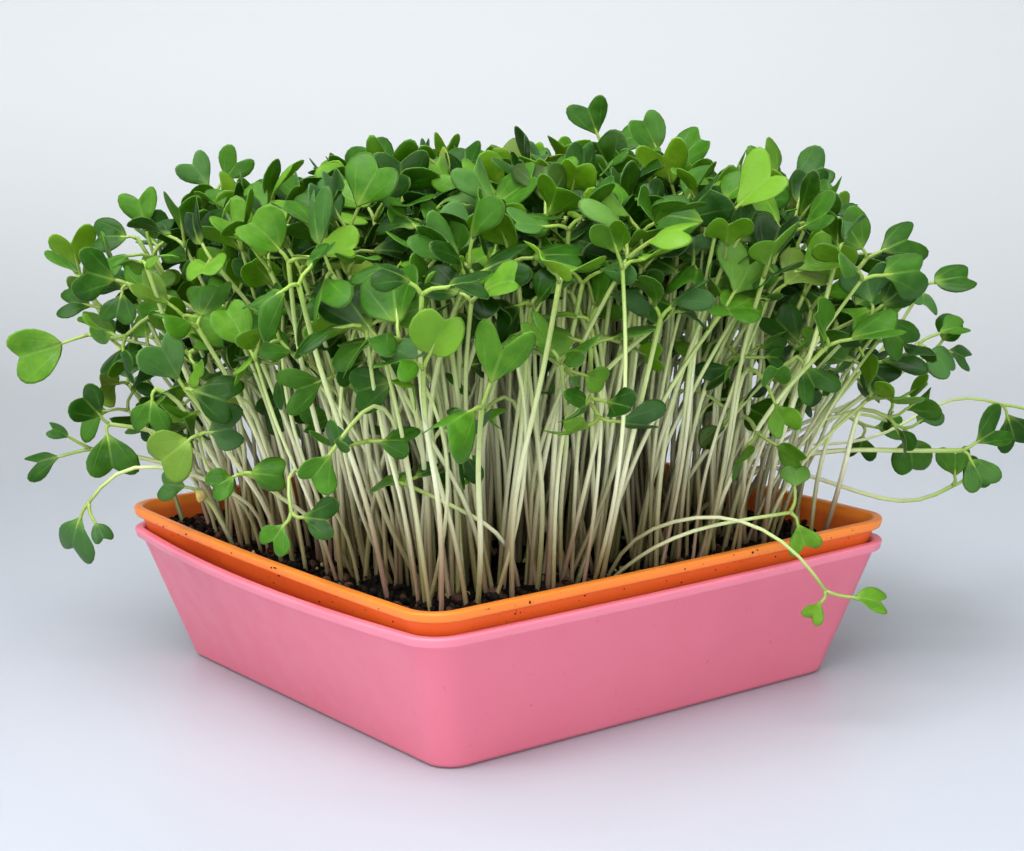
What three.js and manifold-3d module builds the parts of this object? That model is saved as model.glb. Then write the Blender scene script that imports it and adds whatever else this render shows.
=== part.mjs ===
// A square tray of microgreens: two nested tapered trays, a block of growing medium and a dense stand of
// brassica seedlings, each a slim pale stem with a pair of notched seed leaves.
// Millimetres, +Z up. The origin is the middle of the outer tray's underside, which stands on the table.
import * as THREE from 'three';
import { mergeVertices } from 'three/addons/utils/BufferGeometryUtils.js';
import Module from 'manifold-3d';

const wasm = await Module();
wasm.setup();

// Trays: both come out of one mould
const RIM_WIDTH = 125; // across the rim band, side to side
const TRAY_HEIGHT = 30.5;
const FLOOR_WIDTH = 105.2; // across the underside
const RIM_OUT = 1.2; // how far the rim band stands out from the wall
const RIM_BAND = 2.1; // height of the rim band
const WALL = 1.15; // wall thickness, measured level
const FLOOR = 1.5;
const CORNER_TOP = 7.5; // corner radius seen from above, at the rim
const CORNER_BOTTOM = 6;
const EDGE = 0.5; // rounding of the rim band
const NEST_RISE = 4.9; // the inner tray stands this much proud of the outer one
const DRAIN_HOLE = 4; // diameter
const DRAIN_PITCH = 30;

// How far the middle of each side of a rim bows out: left, right and the two far sides
const OUTER_BOW = { left: 4.2, right: 1.1, back: 1.1, far: 1.1 };
const INNER_BOW = { left: 1.6, right: 0.2, back: 0.2, far: 0.2 };

// Growing medium
const FIT = 0.35; // clearance between neighbouring pieces
const SOIL_FIT = 0.8; // clearance all round the block of medium
const SOIL_TOP = 24.8; // above the inner tray's underside
const SOIL_ROUGH = 0.8;

// Seedlings
const SEED = 20;
const ROOT_BED = 107; // width of the square in which they are rooted
const ROOT_MAT = 5; // thickness of the mat that the roots make
const STEM_SUNK = 2.6; // how deep a stem's foot stands in the mat
const STEM_FOOT = 0.68; // half the width of a stem at its foot
const STEM_TIP = 0.6; // and at its top
const RIM_PASS = 13; // how far above the bed a stem rises before it leans over the rim
const BLADE = 0.7; // leaf thickness
const CUP = 0.28; // rise of a leaf's edge for each millimetre out from its rib
const STANDOUT_CUP = 0.17; // the same for the leaves of the sprouts placed by hand
const CANOPY_TOP = 108.5; // height of the highest ordinary stems above the table
const CANOPY_FALL = 13; // how much shorter they are at the far corners
const NEAR_LEVEL = 0.7; // share of that fall which is missing on the viewer's side
const LEAN_MIDDLE = 4; // how far a stem's top stands out from its foot in the middle of the stand
const LEAN_EDGE = 21; // how much further at its edge
const LEAN_NEAR = 7; // how much less of that on the viewer's side
const LEAN_POWER = 2.2; // how quickly the lean grows towards the edge
const LEAN_COST = 1.5; // how strongly a lean takes from a stem's height
const SCATTER = 6; // random shift of a stem's top, either way
const DROP = 10; // stems are up to this much shorter at random
const SHORT_DROP = 19; // and the short ones up to this much more
const NEAR_SHORT_DROP = 12; // the same on the viewer's side
const SHORT_SHARE = 0.1; // share of short ones in the middle of the stand
const EDGE_SHORT_SHARE = 0.4; // and at its edge
const LEAF_WIDTH = [10, 14]; // least and most
const TRIES = 60; // draws for each seedling before its place stays empty
const ROWS = 10; // a jittered square grid of this many seedlings a side

const BED_Z = NEST_RISE + SOIL_TOP;

// Numbers from 0 to 1 that are the same on every run
function randomNumbers(seed) {
  let state = seed;
  return () => {
    state = (state + 0x6d2b79f5) | 0;
    let t = Math.imul(state ^ (state >>> 15), 1 | state);
    t = (t + Math.imul(t ^ (t >>> 7), 61 | t)) ^ t;
    return ((t ^ (t >>> 14)) >>> 0) / 4294967296;
  };
}

function solid(geometry) {
  const bare = geometry.clone();
  bare.deleteAttribute('normal');
  bare.deleteAttribute('uv');
  const merged = mergeVertices(bare, 1e-5);
  return new wasm.Manifold(new wasm.Mesh({
    numProp: 3,
    vertProperties: new Float32Array(merged.attributes.position.array),
    triVerts: new Uint32Array(merged.index.array),
  }));
}

function geometryOf(body) {
  const mesh = body.getMesh();
  const geometry = new THREE.BufferGeometry();
  geometry.setAttribute('position', new THREE.BufferAttribute(new Float32Array(mesh.vertProperties), 3));
  geometry.setIndex(new THREE.BufferAttribute(new Uint32Array(mesh.triVerts), 1));
  geometry.computeVertexNormals();
  return geometry;
}

function indexed(points, triangles) {
  const geometry = new THREE.BufferGeometry();
  geometry.setAttribute('position', new THREE.Float32BufferAttribute(points.flatMap((p) => [p.x, p.y, p.z]), 3));
  geometry.setIndex(triangles.flat());
  geometry.computeVertexNormals();
  return geometry;
}

// Half the outer width of the tray wall at a height above its underside
function wallHalf(height) {
  const slope = (RIM_WIDTH / 2 - RIM_OUT - FLOOR_WIDTH / 2) / (TRAY_HEIGHT - RIM_BAND);
  return FLOOR_WIDTH / 2 + slope * height;
}

function cornerRadius(height) {
  return THREE.MathUtils.lerp(CORNER_BOTTOM, CORNER_TOP, height / TRAY_HEIGHT);
}

// One level ring round a square with rounded corners. inset is how far it lies inside the wall's outer face.
function squareRing(height, inset, bow) {
  const half = wallHalf(height) - inset;
  const radius = Math.max(cornerRadius(height) - inset, 1);
  const straight = half - radius;
  const cornerSteps = 5;
  const sideSteps = 4;
  const sides = [bow.far, bow.back, bow.left, bow.right];
  const points = [];
  for (let side = 0; side < 4; side += 1) {
    const turn = (side * Math.PI) / 2;
    const place = (out, along) => {
      points.push(new THREE.Vector3(
        out * Math.cos(turn) - along * Math.sin(turn),
        out * Math.sin(turn) + along * Math.cos(turn),
        height,
      ));
    };
    for (let i = 0; i <= sideSteps; i += 1) {
      const along = THREE.MathUtils.lerp(-straight, straight, i / sideSteps);
      const swell = sides[side] * (height / TRAY_HEIGHT) * (1 - (along / straight) ** 2);
      place(half + swell, along);
    }
    for (let i = 1; i < cornerSteps; i += 1) {
      const angle = (i / cornerSteps) * (Math.PI / 2);
      place(straight + radius * Math.cos(angle), straight + radius * Math.sin(angle));
    }
  }
  return points;
}

// A closed skin through a run of rings, with a flat fan at each end
function skin(rings) {
  const count = rings[0].length;
  const points = rings.flat();
  const triangles = [];
  for (let r = 0; r + 1 < rings.length; r += 1) {
    for (let i = 0; i < count; i += 1) {
      const next = (i + 1) % count;
      const a = r * count + i;
      const b = r * count + next;
      triangles.push([a, b, b + count], [a, b + count, a + count]);
    }
  }
  const middle = (ring) => ring.reduce((sum, p) => sum.add(p), new THREE.Vector3()).divideScalar(count);
  const start = points.push(middle(rings[0])) - 1;
  const end = points.push(middle(rings[rings.length - 1])) - 1;
  const last = (rings.length - 1) * count;
  for (let i = 0; i < count; i += 1) {
    const next = (i + 1) % count;
    triangles.push([start, next, i], [end, last + i, last + next]);
  }
  return indexed(points, triangles);
}

// The tray as one skin: up the outside, round the rim band and down the inside
function trayGeometry(bow) {
  const underRim = TRAY_HEIGHT - RIM_BAND;
  const rimInset = -RIM_OUT;
  return skin([
    squareRing(0, 1.2, bow),
    squareRing(0.35, 0.35, bow),
    squareRing(1.3, 0, bow),
    squareRing(underRim, 0, bow),
    squareRing(underRim + 0.15, rimInset * 0.7, bow),
    squareRing(underRim + EDGE + 0.15, rimInset, bow),
    squareRing(TRAY_HEIGHT - EDGE, rimInset + 0.17, bow),
    squareRing(TRAY_HEIGHT, rimInset + EDGE + 0.4, bow),
    squareRing(TRAY_HEIGHT, WALL - 0.3, bow),
    squareRing(TRAY_HEIGHT - 0.3, WALL, bow),
    squareRing(FLOOR + 1.3, WALL, bow),
    squareRing(FLOOR, WALL + 1.3, bow),
  ]);
}

// The inner tray's floor is pierced by a square of drain holes
function drainedTray(bow) {
  let body = solid(trayGeometry(bow));
  for (const x of [-DRAIN_PITCH, 0, DRAIN_PITCH]) {
    for (const y of [-DRAIN_PITCH, 0, DRAIN_PITCH]) {
      const hole = new THREE.CylinderGeometry(DRAIN_HOLE / 2, DRAIN_HOLE / 2, FLOOR * 3, 8);
      hole.rotateX(Math.PI / 2);
      hole.translate(x, y, FLOOR / 2);
      body = body.subtract(solid(hole));
    }
  }
  return geometryOf(body);
}

// The medium follows the inner tray's walls, and is hollowed where the roots have matted
function soilGeometry(random) {
  const roughRing = (height, inset) => {
    const ring = squareRing(height, inset, INNER_BOW);
    ring.forEach((p) => {
      p.z += (random() - 0.5) * 2 * SOIL_ROUGH;
    });
    return ring;
  };
  const block = solid(skin([
    squareRing(FLOOR + FIT, WALL + 2.2, INNER_BOW),
    squareRing(FLOOR + 2.4, WALL + SOIL_FIT, INNER_BOW),
    squareRing(SOIL_TOP - 1.2, WALL + SOIL_FIT, INNER_BOW),
    roughRing(SOIL_TOP, WALL + SOIL_FIT + 0.8),
    roughRing(SOIL_TOP, WALL + SOIL_FIT + 5),
  ]));
  const hollow = new THREE.BoxGeometry(ROOT_BED + 2 * FIT, ROOT_BED + 2 * FIT, 2 * (ROOT_MAT + FIT));
  hollow.translate(0, 0, SOIL_TOP);
  return geometryOf(block.subtract(solid(hollow)));
}

// A quarter of the root mat, with its crumbly top. corner is the sign of x and of y.
function matSolid(corner, random) {
  const width = ROOT_BED / 2 - FIT / 2;
  const mat = new THREE.BoxGeometry(width, width, ROOT_MAT, 5, 5, 1);
  mat.translate(
    corner[0] * (ROOT_BED / 2 - width / 2),
    corner[1] * (ROOT_BED / 2 - width / 2),
    BED_Z - ROOT_MAT / 2,
  );
  const rises = new Map();
  const position = mat.attributes.position;
  for (let i = 0; i < position.count; i += 1) {
    if (position.getZ(i) > BED_Z - 0.1) {
      const key = `${position.getX(i).toFixed(2)} ${position.getY(i).toFixed(2)}`;
      if (!rises.has(key)) rises.set(key, (random() - 0.5) * 2 * SOIL_ROUGH);
      position.setZ(i, BED_Z + rises.get(key));
    }
  }
  return solid(mat);
}

// Sprouts that stand out of the mass are placed by hand. Their positions are measured from the front corner:
// across to the right, near towards the viewer, and up from the table, from the middle of the tray.
const VIEW_TURN = THREE.MathUtils.degToRad(-35.9);
const ACROSS = new THREE.Vector3(Math.cos(VIEW_TURN), Math.sin(VIEW_TURN), 0);
const NEAR = new THREE.Vector3(Math.sin(VIEW_TURN), -Math.cos(VIEW_TURN), 0);

function seen([across, near, up]) {
  return new THREE.Vector3().addScaledVector(ACROSS, across).addScaledVector(NEAR, near).setZ(up);
}

// root [across, near], points the stem passes, its top, and for each leaf the far end of its blade, its width
// and how much its face turns from the sky (0) to the viewer (1)
const STANDOUTS = [
  // left side
  { root: [-60, -6], via: [[-64, -4, 63], [-75, -2, 74]], top: [-91, 0, 77], leaves: [[[-107, 2, 72], 13, 1]] },
  { root: [-58, 2], via: [[-63, 4, 47], [-72, 8, 56]], top: [-85, 12, 59],
    leaves: [[[-89, 15, 65], 10, 0.8], [[-84, 16, 51], 12.5, 0.9]] },
  { root: [-59, -9], via: [[-71, -8, 44], [-82, -7, 48]], top: [-93, -6, 50],
    leaves: [[[-107, -4, 47], 9, 0.6], [[-101, -3, 56], 6, 0.5]] },
  { root: [-52, 14], via: [[-66, 23, 50], [-77, 27, 54], [-82, 28, 53]], top: [-87, 29, 45],
    leaves: [[[-93, 29, 33], 9, 0.3], [[-83, 33, 38], 5, 0.4]] },
  { root: [-50, -10], via: [[-69, -8, 77]], top: [-76, -6, 94],
    leaves: [[[-79, -4, 108], 9.5, 1], [[-71, -9, 101], 9, 0.7]] },
  { root: [-52, -18], via: [[-70, -16, 76]], top: [-81, -14, 97], leaves: [[[-91, -13, 98], 10, 0.7]] },
  { root: [-55, 2], via: [[-60, 8, 79], [-69, 12, 86]], top: [-79, 15, 90],
    leaves: [[[-88, 17, 93], 12, 0.8], [[-81, 19, 83], 9, 0.6]] },
  { root: [-50, -26], via: [[-69, -24, 68], [-80, -24, 76]], top: [-92, -24, 80],
    leaves: [[[-101, -22, 83], 9, 0.5], [[-96, -20, 89], 9, 0.7]] },
  { root: [-56, 13], via: [[-65, 21, 59], [-69, 24, 71]], top: [-72, 26, 69],
    leaves: [[[-74, 28, 60], 10, 0.4]] },
  { root: [-47, 24], via: [[-57, 34, 57], [-60, 41, 69]], top: [-63, 44, 72],
    leaves: [[[-68, 45, 82], 12, 0.8], [[-53, 49, 70], 12, 0.8]] },
  { root: [-50, 18], via: [[-60, 30, 48], [-61, 38, 58]], top: [-61, 42, 62],
    leaves: [[[-68, 45, 58], 11, 0.9], [[-53, 45, 64], 10, 0.9]] },
  { root: [-58, 8], via: [[-63, 13, 41]], top: [-66, 16, 45], leaves: [[[-73, 17, 47], 8, 0.7]] },
  { root: [-36, 34], via: [[-46, 44, 49], [-48, 49, 56]], top: [-51, 52, 56],
    leaves: [[[-45, 54, 56], 9, 0.9], [[-57, 55, 54], 7, 0.7]] },
  { root: [-29, 42], via: [[-40, 58, 60], [-42, 65, 58]], top: [-40, 68, 51],
    leaves: [[[-45, 70, 45], 8, 0.7], [[-32, 70, 50], 9, 0.7]] },
  // front corner
  { root: [4, 50], via: [[2, 54, 41], [-6, 61, 49], [-13, 63, 53]], top: [-18, 65, 56],
    leaves: [[[-22, 57, 56], 10, 0.6], [[-11, 63, 60], 7, 0.3]] },
  { root: [-7, 50], via: [[-8, 56, 42]], top: [-8, 58, 52],
    leaves: [[[-7, 58, 60], 8, 0.9], [[-14, 54, 55], 6, 0.3]] },
  // two that arch low over the right-hand rim
  { root: [21, 41], via: [[25, 42, 38], [35, 45, 43], [46, 47, 45], [56, 50, 41], [62, 52, 36]], top: [66, 52, 29],
    leaves: [[[62, 53, 24], 6, 0.3], [[78, 53, 27], 8, 0.5]] },
  { root: [19, 45], via: [[27, 45, 35], [39, 45, 41], [51, 45, 43]], top: [60, 44, 44],
    leaves: [[[61, 42, 54], 6, 0.2], [[63, 46, 36], 7, 0.8]] },
  // right side
  { root: [48, -30], via: [[89, -32, 43], [107, -34, 53], [115, -34, 54]], top: [122, -34, 51],
    leaves: [[[126, -34, 40], 11, 0.8], [[136, -34, 48], 10, 0.6]] },
  { root: [50, 0], via: [[64, 4, 51], [76, 4, 58], [84, 4, 57]], top: [91, 4, 53],
    leaves: [[[93, 6, 43], 11, 0.9], [[99, 2, 57], 7, 0.3]] },
  { root: [36, 8], via: [[48, 9, 40], [62, 10, 48], [76, 10, 50], [92, 9, 49]], top: [103, 9, 49],
    leaves: [[[113, 5, 54], 10, 0.9], [[107, 15, 42], 9, 0.8]] },
  { root: [50, -12], via: [[75, -14, 38], [88, -14, 33], [99, -14, 31]], top: [106, -14, 36],
    leaves: [[[106, -12, 45], 9, 0.8], [[114, -16, 40], 8, 0.8]] },
  { root: [48, -17], via: [[84, -19, 61], [94, -20, 73]], top: [99, -20, 82],
    leaves: [[[111, -21, 85], 11, 0.5], [[97, -9, 79], 8, 0.6]] },
  { root: [54, -7], via: [[83, -6, 58], [90, -5, 68]], top: [95, -4, 71],
    leaves: [[[106, -4, 76], 8, 0.4], [[103, -1, 65], 9, 0.5]] },
  { root: [54, -24], via: [[88, -27, 55], [98, -29, 62]], top: [105, -30, 66],
    leaves: [[[114, -30, 63], 8, 0.6], [[109, -28, 73], 8, 0.5]] },
  { root: [44, 14], via: [[61, 24, 70], [70, 29, 80]], top: [78, 32, 83],
    leaves: [[[86, 35, 76], 11, 0.9], [[76, 31, 93], 10, 0.7]] },
  { root: [46, 4], via: [[74, 6, 82]], top: [81, 8, 92],
    leaves: [[[93, 8, 98], 12, 0.7], [[75, 8, 102], 11, 0.7]] },
  { root: [34, 22], via: [[52, 30, 65], [58, 34, 73]], top: [62, 36, 75], leaves: [[[66, 39, 67], 10, 0.9]] },
  { root: [50, -38], via: [[60, -40, 46], [80, -41, 51]], top: [90, -42, 45],
    leaves: [[[99, -43, 43], 8, 0.4], [[88, -40, 37], 8, 0.5]] },
  { root: [38, -14], via: [[60, -12, 88]], top: [64, -10, 106],
    leaves: [[[76, -10, 111], 11, 0.5], [[60, -10, 117], 11, 0.6]] },
  // top
  { root: [14, -30], via: [[23, -32, 90]], top: [26, -34, 114],
    leaves: [[[22, -34, 125], 9.5, 0.9], [[35, -31, 118], 9, 0.4]] },
  { root: [22, -18], via: [[36, -20, 90]], top: [40, -22, 110],
    leaves: [[[34, -22, 122], 10, 0.6], [[49, -22, 117], 10, 0.5]] },
  { root: [-42, -36], via: [[-62, -36, 84]], top: [-66, -38, 105],
    leaves: [[[-72, -38, 113], 9, 0.9], [[-59, -38, 114], 9, 0.9]] },
  { root: [-20, -10], via: [[-26, -12, 90]], top: [-27, -14, 106],
    leaves: [[[-37, -12, 111], 10, 0.8], [[-17, -16, 111], 10, 0.8]] },
];

function stemCurve(points) {
  return new THREE.CatmullRomCurve3(points, false, 'catmullrom', 0.5);
}

// The part of a vector that is square to an axis, as a unit vector
function squareTo(vector, axis) {
  return vector.clone().addScaledVector(axis, -vector.dot(axis)).normalize();
}

// The top of a stem: its axis, the way the first leaf goes off and the way across
function stemTop(curve, leaves) {
  const axis = curve.getTangentAt(1);
  const spread = leaves[0].end.clone().sub(leaves[0].start).normalize();
  if (leaves.length > 1) spread.sub(leaves[1].end.clone().sub(leaves[1].start).normalize());
  if (leaves.length === 1) spread.addScaledVector(leaves[0].face, -0.3 * Math.max(spread.dot(axis), 0));
  const out = squareTo(spread, axis);
  return { axis, out, across: axis.clone().cross(out) };
}

// The axes of a leaf: along its rib, across it and out of one face. That face is the one towards the stem's
// tip, and lift is the way in which the leaf is cupped, seen from that face.
function leafAxes(leaf, top, way) {
  const out = top.out.clone().multiplyScalar(way);
  const start = leaf.start.clone().addScaledVector(out, 0.55).addScaledVector(top.axis, 0.45);
  const along = leaf.end.clone().sub(start);
  const reach = along.length();
  along.normalize();
  const inner = top.axis.clone().multiplyScalar(along.dot(out)).addScaledVector(out, -along.dot(top.axis));
  const turned = leaf.face.dot(inner) < 0 ? -1 : 1;
  const side = along.clone().cross(leaf.face).multiplyScalar(turned).normalize();
  const up = side.clone().cross(along).normalize();
  const stalk = Math.max(reach - leaf.width * 0.85, 1.8);
  const blade = Math.max(reach - stalk, leaf.width * 0.7);
  return { start, along, side, up, stalk, blade, lift: turned * leaf.cup };
}

// A point of the blade: right of the rib by x, along it by y. The edges rise, so that the leaf is cupped.
function leafPoint(axes, x, y, height) {
  return axes.start.clone()
    .addScaledVector(axes.side, x)
    .addScaledVector(axes.along, y)
    .addScaledVector(axes.up, height + Math.max(Math.abs(x) - 0.5, 0) * axes.lift);
}

// One seedling as one closed skin. The stem is a square tube whose foot is sunk in the mat. It ends in a small
// block, and a leaf grows out of each of two of the block's sides: its stalk, then a blade that flares to two
// lobes with a notch between them. Both faces of a blade are split into triangles alike.
function seedlingGeometry({ curve, steps, leaves }) {
  const top = stemTop(curve, leaves);
  const corners = [[1, -1], [1, 1], [-1, 1], [-1, -1]];
  const points = [];
  const triangles = [];
  const ring = (middle, out, across, radius) => {
    for (const [i, j] of corners) {
      points.push(middle.clone().addScaledVector(out, i * radius).addScaledVector(across, j * radius));
    }
  };
  const rings = [];
  let out = top.out;
  for (let i = steps; i >= 0; i -= 1) {
    const axis = curve.getTangentAt(i / steps);
    out = squareTo(out, axis);
    rings.unshift({ middle: curve.getPointAt(i / steps), out, across: axis.clone().cross(out) });
  }
  rings.forEach((r, i) => ring(r.middle, r.out, r.across, THREE.MathUtils.lerp(STEM_FOOT, STEM_TIP, i / steps)));
  ring(rings[steps].middle.clone().addScaledVector(top.axis, 0.9), top.out, top.across, 0.5);
  triangles.push([0, 3, 2], [0, 2, 1]);
  const quad = (a, b, c, d) => triangles.push([a, b, c], [a, c, d]);
  for (let i = 0; i <= steps; i += 1) {
    for (let k = 0; k < 4; k += 1) {
      const taken = i === steps && (k === 0 || (k === 2 && leaves.length > 1));
      const a = i * 4 + k;
      const b = i * 4 + ((k + 1) % 4);
      if (!taken) quad(a, b, b + 4, a + 4);
    }
  }
  const low = steps * 4;
  quad(low + 4, low + 5, low + 6, low + 7);
  leaves.forEach((leaf, n) => {
    const axes = leafAxes(leaf, top, n ? -1 : 1);
    const half = leaf.width / 2;
    const { stalk, blade } = axes;
    const outline = [
      [0.45, stalk],
      [half, stalk + blade * 0.5],
      [half * 0.6, stalk + blade],
      [0, stalk + blade * 0.76],
      [-half * 0.6, stalk + blade],
      [-half, stalk + blade * 0.5],
      [-0.45, stalk],
    ];
    // seen from the inner face with the leaf pointing away, the block's corners lie left and right
    const left = low + (n ? 3 : 1);
    const right = low + (n ? 2 : 0);
    const first = points.length;
    for (const [x, y] of outline) points.push(leafPoint(axes, x, y, BLADE / 2));
    for (const [x, y] of outline) points.push(leafPoint(axes, x, y, -BLADE / 2));
    const upper = [left + 4, right + 4, ...outline.map((_, i) => first + i)];
    const lower = [left, right, ...outline.map((_, i) => first + outline.length + i)];
    const face = [[0, 1, 2], [0, 2, 8], [8, 2, 5], [2, 3, 5], [3, 4, 5], [8, 5, 7], [7, 5, 6]];
    for (const [a, b, c] of face) triangles.push([upper[a], upper[b], upper[c]], [lower[a], lower[c], lower[b]]);
    for (let i = 1; i < upper.length; i += 1) {
      const next = (i + 1) % upper.length;
      quad(lower[i], lower[next], upper[next], upper[i]);
    }
  });
  return indexed(points, triangles);
}

// Small balls that fill a seedling's outline, used only to keep seedlings clear of each other
function coverBalls(seedling) {
  const top = stemTop(seedling.curve, seedling.leaves);
  const steps = Math.ceil(seedling.curve.getLength() / 1.6);
  const stem = [];
  for (let i = 0; i <= steps; i += 1) stem.push({ at: seedling.curve.getPointAt(i / steps), radius: 1.15 });
  const blades = seedling.leaves.map((leaf, n) => {
    const axes = leafAxes(leaf, top, n ? -1 : 1);
    const balls = [];
    for (let y = 1; y < axes.stalk + axes.blade - 0.5; y += 1.9) {
      const spread = y < axes.stalk ? 0 : (leaf.width / 2) * Math.min(1, 0.3 + (y - axes.stalk) / 4);
      const count = Math.ceil(spread / 1.9);
      for (let k = -count; k <= count; k += 1) {
        const x = count ? (spread - 0.8) * (k / count) : 0;
        balls.push({ at: leafPoint(axes, x, y, 0), radius: 1.45 });
      }
    }
    return balls;
  });
  return { stem, blades, all: [...stem, ...blades.flat()] };
}

// Whether a seedling's leaves keep off its own stem and off each other, away from where they join
function clearOfItself({ stem, blades }) {
  const apex = stem[stem.length - 1].at;
  const free = (balls, distance) => balls.filter((ball) => ball.at.distanceTo(apex) > distance);
  const apart = (some, others, gap) => some.every((a) => others.every((b) => a.at.distanceTo(b.at) > gap));
  const stemClear = blades.every((blade) => apart(free(blade, 3.5), free(stem, 3.5), 1.7));
  return stemClear && (blades.length < 2 || apart(free(blades[0], 3.5), free(blades[1], 3.5), 1.5));
}

// Half the width of the rounded square round the tray's middle that passes through a point
function squareReach(at) {
  const straight = RIM_WIDTH / 2 - RIM_OUT - CORNER_TOP;
  const x = Math.abs(at.x);
  const y = Math.abs(at.y);
  if (Math.min(x, y) < straight) return Math.max(x, y);
  return straight + Math.hypot(x - straight, y - straight);
}

// Whether a seedling stays inside the inner tray's opening, above the rims or right outside both trays
function clearOfTrays({ all }) {
  const above = NEST_RISE + TRAY_HEIGHT + 0.4;
  const inside = wallHalf(SOIL_TOP) - WALL - 1;
  const outside = RIM_WIDTH / 2 + OUTER_BOW.left + 0.4;
  return all.every(({ at, radius }) => {
    const out = squareReach(at);
    return at.z - radius > above || out + radius < inside || out - radius > outside;
  });
}

// Keeps the placed seedlings' balls in cells, and tells whether a new one would touch them
function makeCrowd() {
  const cells = new Map();
  const size = 4;
  const key = (x, y, z) => `${x},${y},${z}`;
  const cellOf = (at) => [at.x, at.y, at.z].map((v) => Math.floor(v / size));
  return {
    clear(balls) {
      return balls.every((ball) => {
        const [x, y, z] = cellOf(ball.at);
        for (let i = x - 1; i <= x + 1; i += 1) {
          for (let j = y - 1; j <= y + 1; j += 1) {
            for (let k = z - 1; k <= z + 1; k += 1) {
              const near = cells.get(key(i, j, k)) ?? [];
              if (near.some((o) => o.at.distanceTo(ball.at) < o.radius + ball.radius)) return false;
            }
          }
        }
        return true;
      });
    },
    add(balls) {
      for (const ball of balls) {
        const name = key(...cellOf(ball.at));
        if (!cells.has(name)) cells.set(name, []);
        cells.get(name).push(ball);
      }
    },
  };
}

// The root stays inside its own quarter of the bed
function rootPoint(x, y) {
  const limit = ROOT_BED / 2 - 1.8;
  const keep = (v) => (v < 0 ? -1 : 1) * THREE.MathUtils.clamp(Math.abs(v), 1.4, limit);
  return new THREE.Vector3(keep(x), keep(y), BED_Z - STEM_SUNK);
}

// A sprout of the table. It rises straight at first, unless its first bend is low and still inside the opening.
function standout({ root, via, top, leaves }) {
  const foot = seen([...root, 0]);
  const start = rootPoint(foot.x, foot.y);
  const apex = seen(top);
  const bends = via.map(seen);
  const rise = start.clone().lerp(bends[0], 0.2).setZ(BED_Z + RIM_PASS);
  const low = bends[0].z < rise.z && squareReach(bends[0]) < wallHalf(SOIL_TOP) - WALL;
  return {
    root: start,
    curve: stemCurve(low ? [start, ...bends, apex] : [start, rise, ...bends, apex]),
    steps: 3 + via.length,
    leaves: leaves.map(([end, width, turn]) => ({
      start: apex,
      end: seen(end),
      width,
      cup: STANDOUT_CUP,
      face: new THREE.Vector3(0, 0, 1).multiplyScalar(1 - turn * 0.8).addScaledVector(NEAR, turn),
    })),
  };
}

// An ordinary seedling: it rises from the bed, leans outwards more the nearer it stands to the edge, and opens
// a pair of leaves across the top of its stem
function ordinary(x, y, random) {
  const wide = ROOT_BED / 2;
  const root = rootPoint(x, y);
  const edge = Math.hypot(root.x, root.y) / (wide * Math.SQRT2);
  const side = Math.max(Math.abs(root.x), Math.abs(root.y)) / wide;
  const out = new THREE.Vector3(root.x, root.y, 0).normalize();
  const facing = Math.max(out.dot(NEAR), 0);
  const lean = LEAN_MIDDLE + (LEAN_EDGE - LEAN_NEAR * facing) * side ** LEAN_POWER;
  const short = random() < THREE.MathUtils.lerp(SHORT_SHARE, EDGE_SHORT_SHARE, side ** 3);
  const shortDrop = THREE.MathUtils.lerp(SHORT_DROP, NEAR_SHORT_DROP, facing);
  const dropped = short ? DROP + shortDrop * random() : DROP * random();
  const fall = CANOPY_FALL * edge ** 2 * (1 - NEAR_LEVEL * facing);
  const length = CANOPY_TOP - fall - dropped - root.z;
  const shift = out.multiplyScalar(lean * (0.4 + 0.85 * random()));
  shift.x += (2 * random() - 1) * SCATTER;
  shift.y += (2 * random() - 1) * SCATTER;
  const rise = Math.sqrt(length ** 2 - LEAN_COST * shift.lengthSq());
  const apex = new THREE.Vector3(root.x + shift.x, root.y + shift.y, root.z + rise);
  const middle = root.clone().lerp(apex, 0.3);
  middle.x += (random() - 0.5) * 3;
  middle.y += (random() - 0.5) * 3;
  middle.z = root.z + rise * 0.5;
  const curve = stemCurve([root, middle, apex]);
  const axis = curve.getTangentAt(1);
  const turn = random() * 2 * Math.PI;
  const level = new THREE.Vector3(Math.cos(turn), Math.sin(turn), 0);
  level.addScaledVector(axis, -level.dot(axis)).normalize();
  const leaves = [1, -1].map((way) => {
    const tilt = THREE.MathUtils.degToRad(5 + 45 * random());
    const roll = (random() - 0.5) * 1.1;
    const width = THREE.MathUtils.lerp(...LEAF_WIDTH, random());
    const reach = width * 0.85 + 2 + 4 * random();
    const along = level.clone().multiplyScalar(way * Math.cos(tilt)).addScaledVector(axis, Math.sin(tilt));
    const aside = along.clone().cross(axis).normalize();
    const face = axis.clone().addScaledVector(aside, Math.sin(roll));
    return { start: apex, end: apex.clone().addScaledVector(along, reach), width, cup: CUP, face };
  });
  return { root, curve, steps: 3, leaves };
}

// Every seedling of the stand. One that would touch another is drawn again, and left out if there is no room.
function growSeedlings(random) {
  const crowd = makeCrowd();
  const grown = [];
  const place = (seedling) => {
    const balls = coverBalls(seedling);
    if (!clearOfItself(balls) || !clearOfTrays(balls) || !crowd.clear(balls.all)) return false;
    crowd.add(balls.all);
    grown.push(seedling);
    return true;
  };
  STANDOUTS.map(standout).forEach(place);
  const pitch = (ROOT_BED - 4) / ROWS;
  for (let row = 0; row < ROWS; row += 1) {
    for (let column = 0; column < ROWS; column += 1) {
      for (let attempt = 0; attempt < TRIES; attempt += 1) {
        const x = (column + 0.15 + 0.7 * random() - ROWS / 2) * pitch;
        const y = (row + 0.15 + 0.7 * random() - ROWS / 2) * pitch;
        if (place(ordinary(x, y, random))) break;
      }
    }
  }
  return grown;
}

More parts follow.
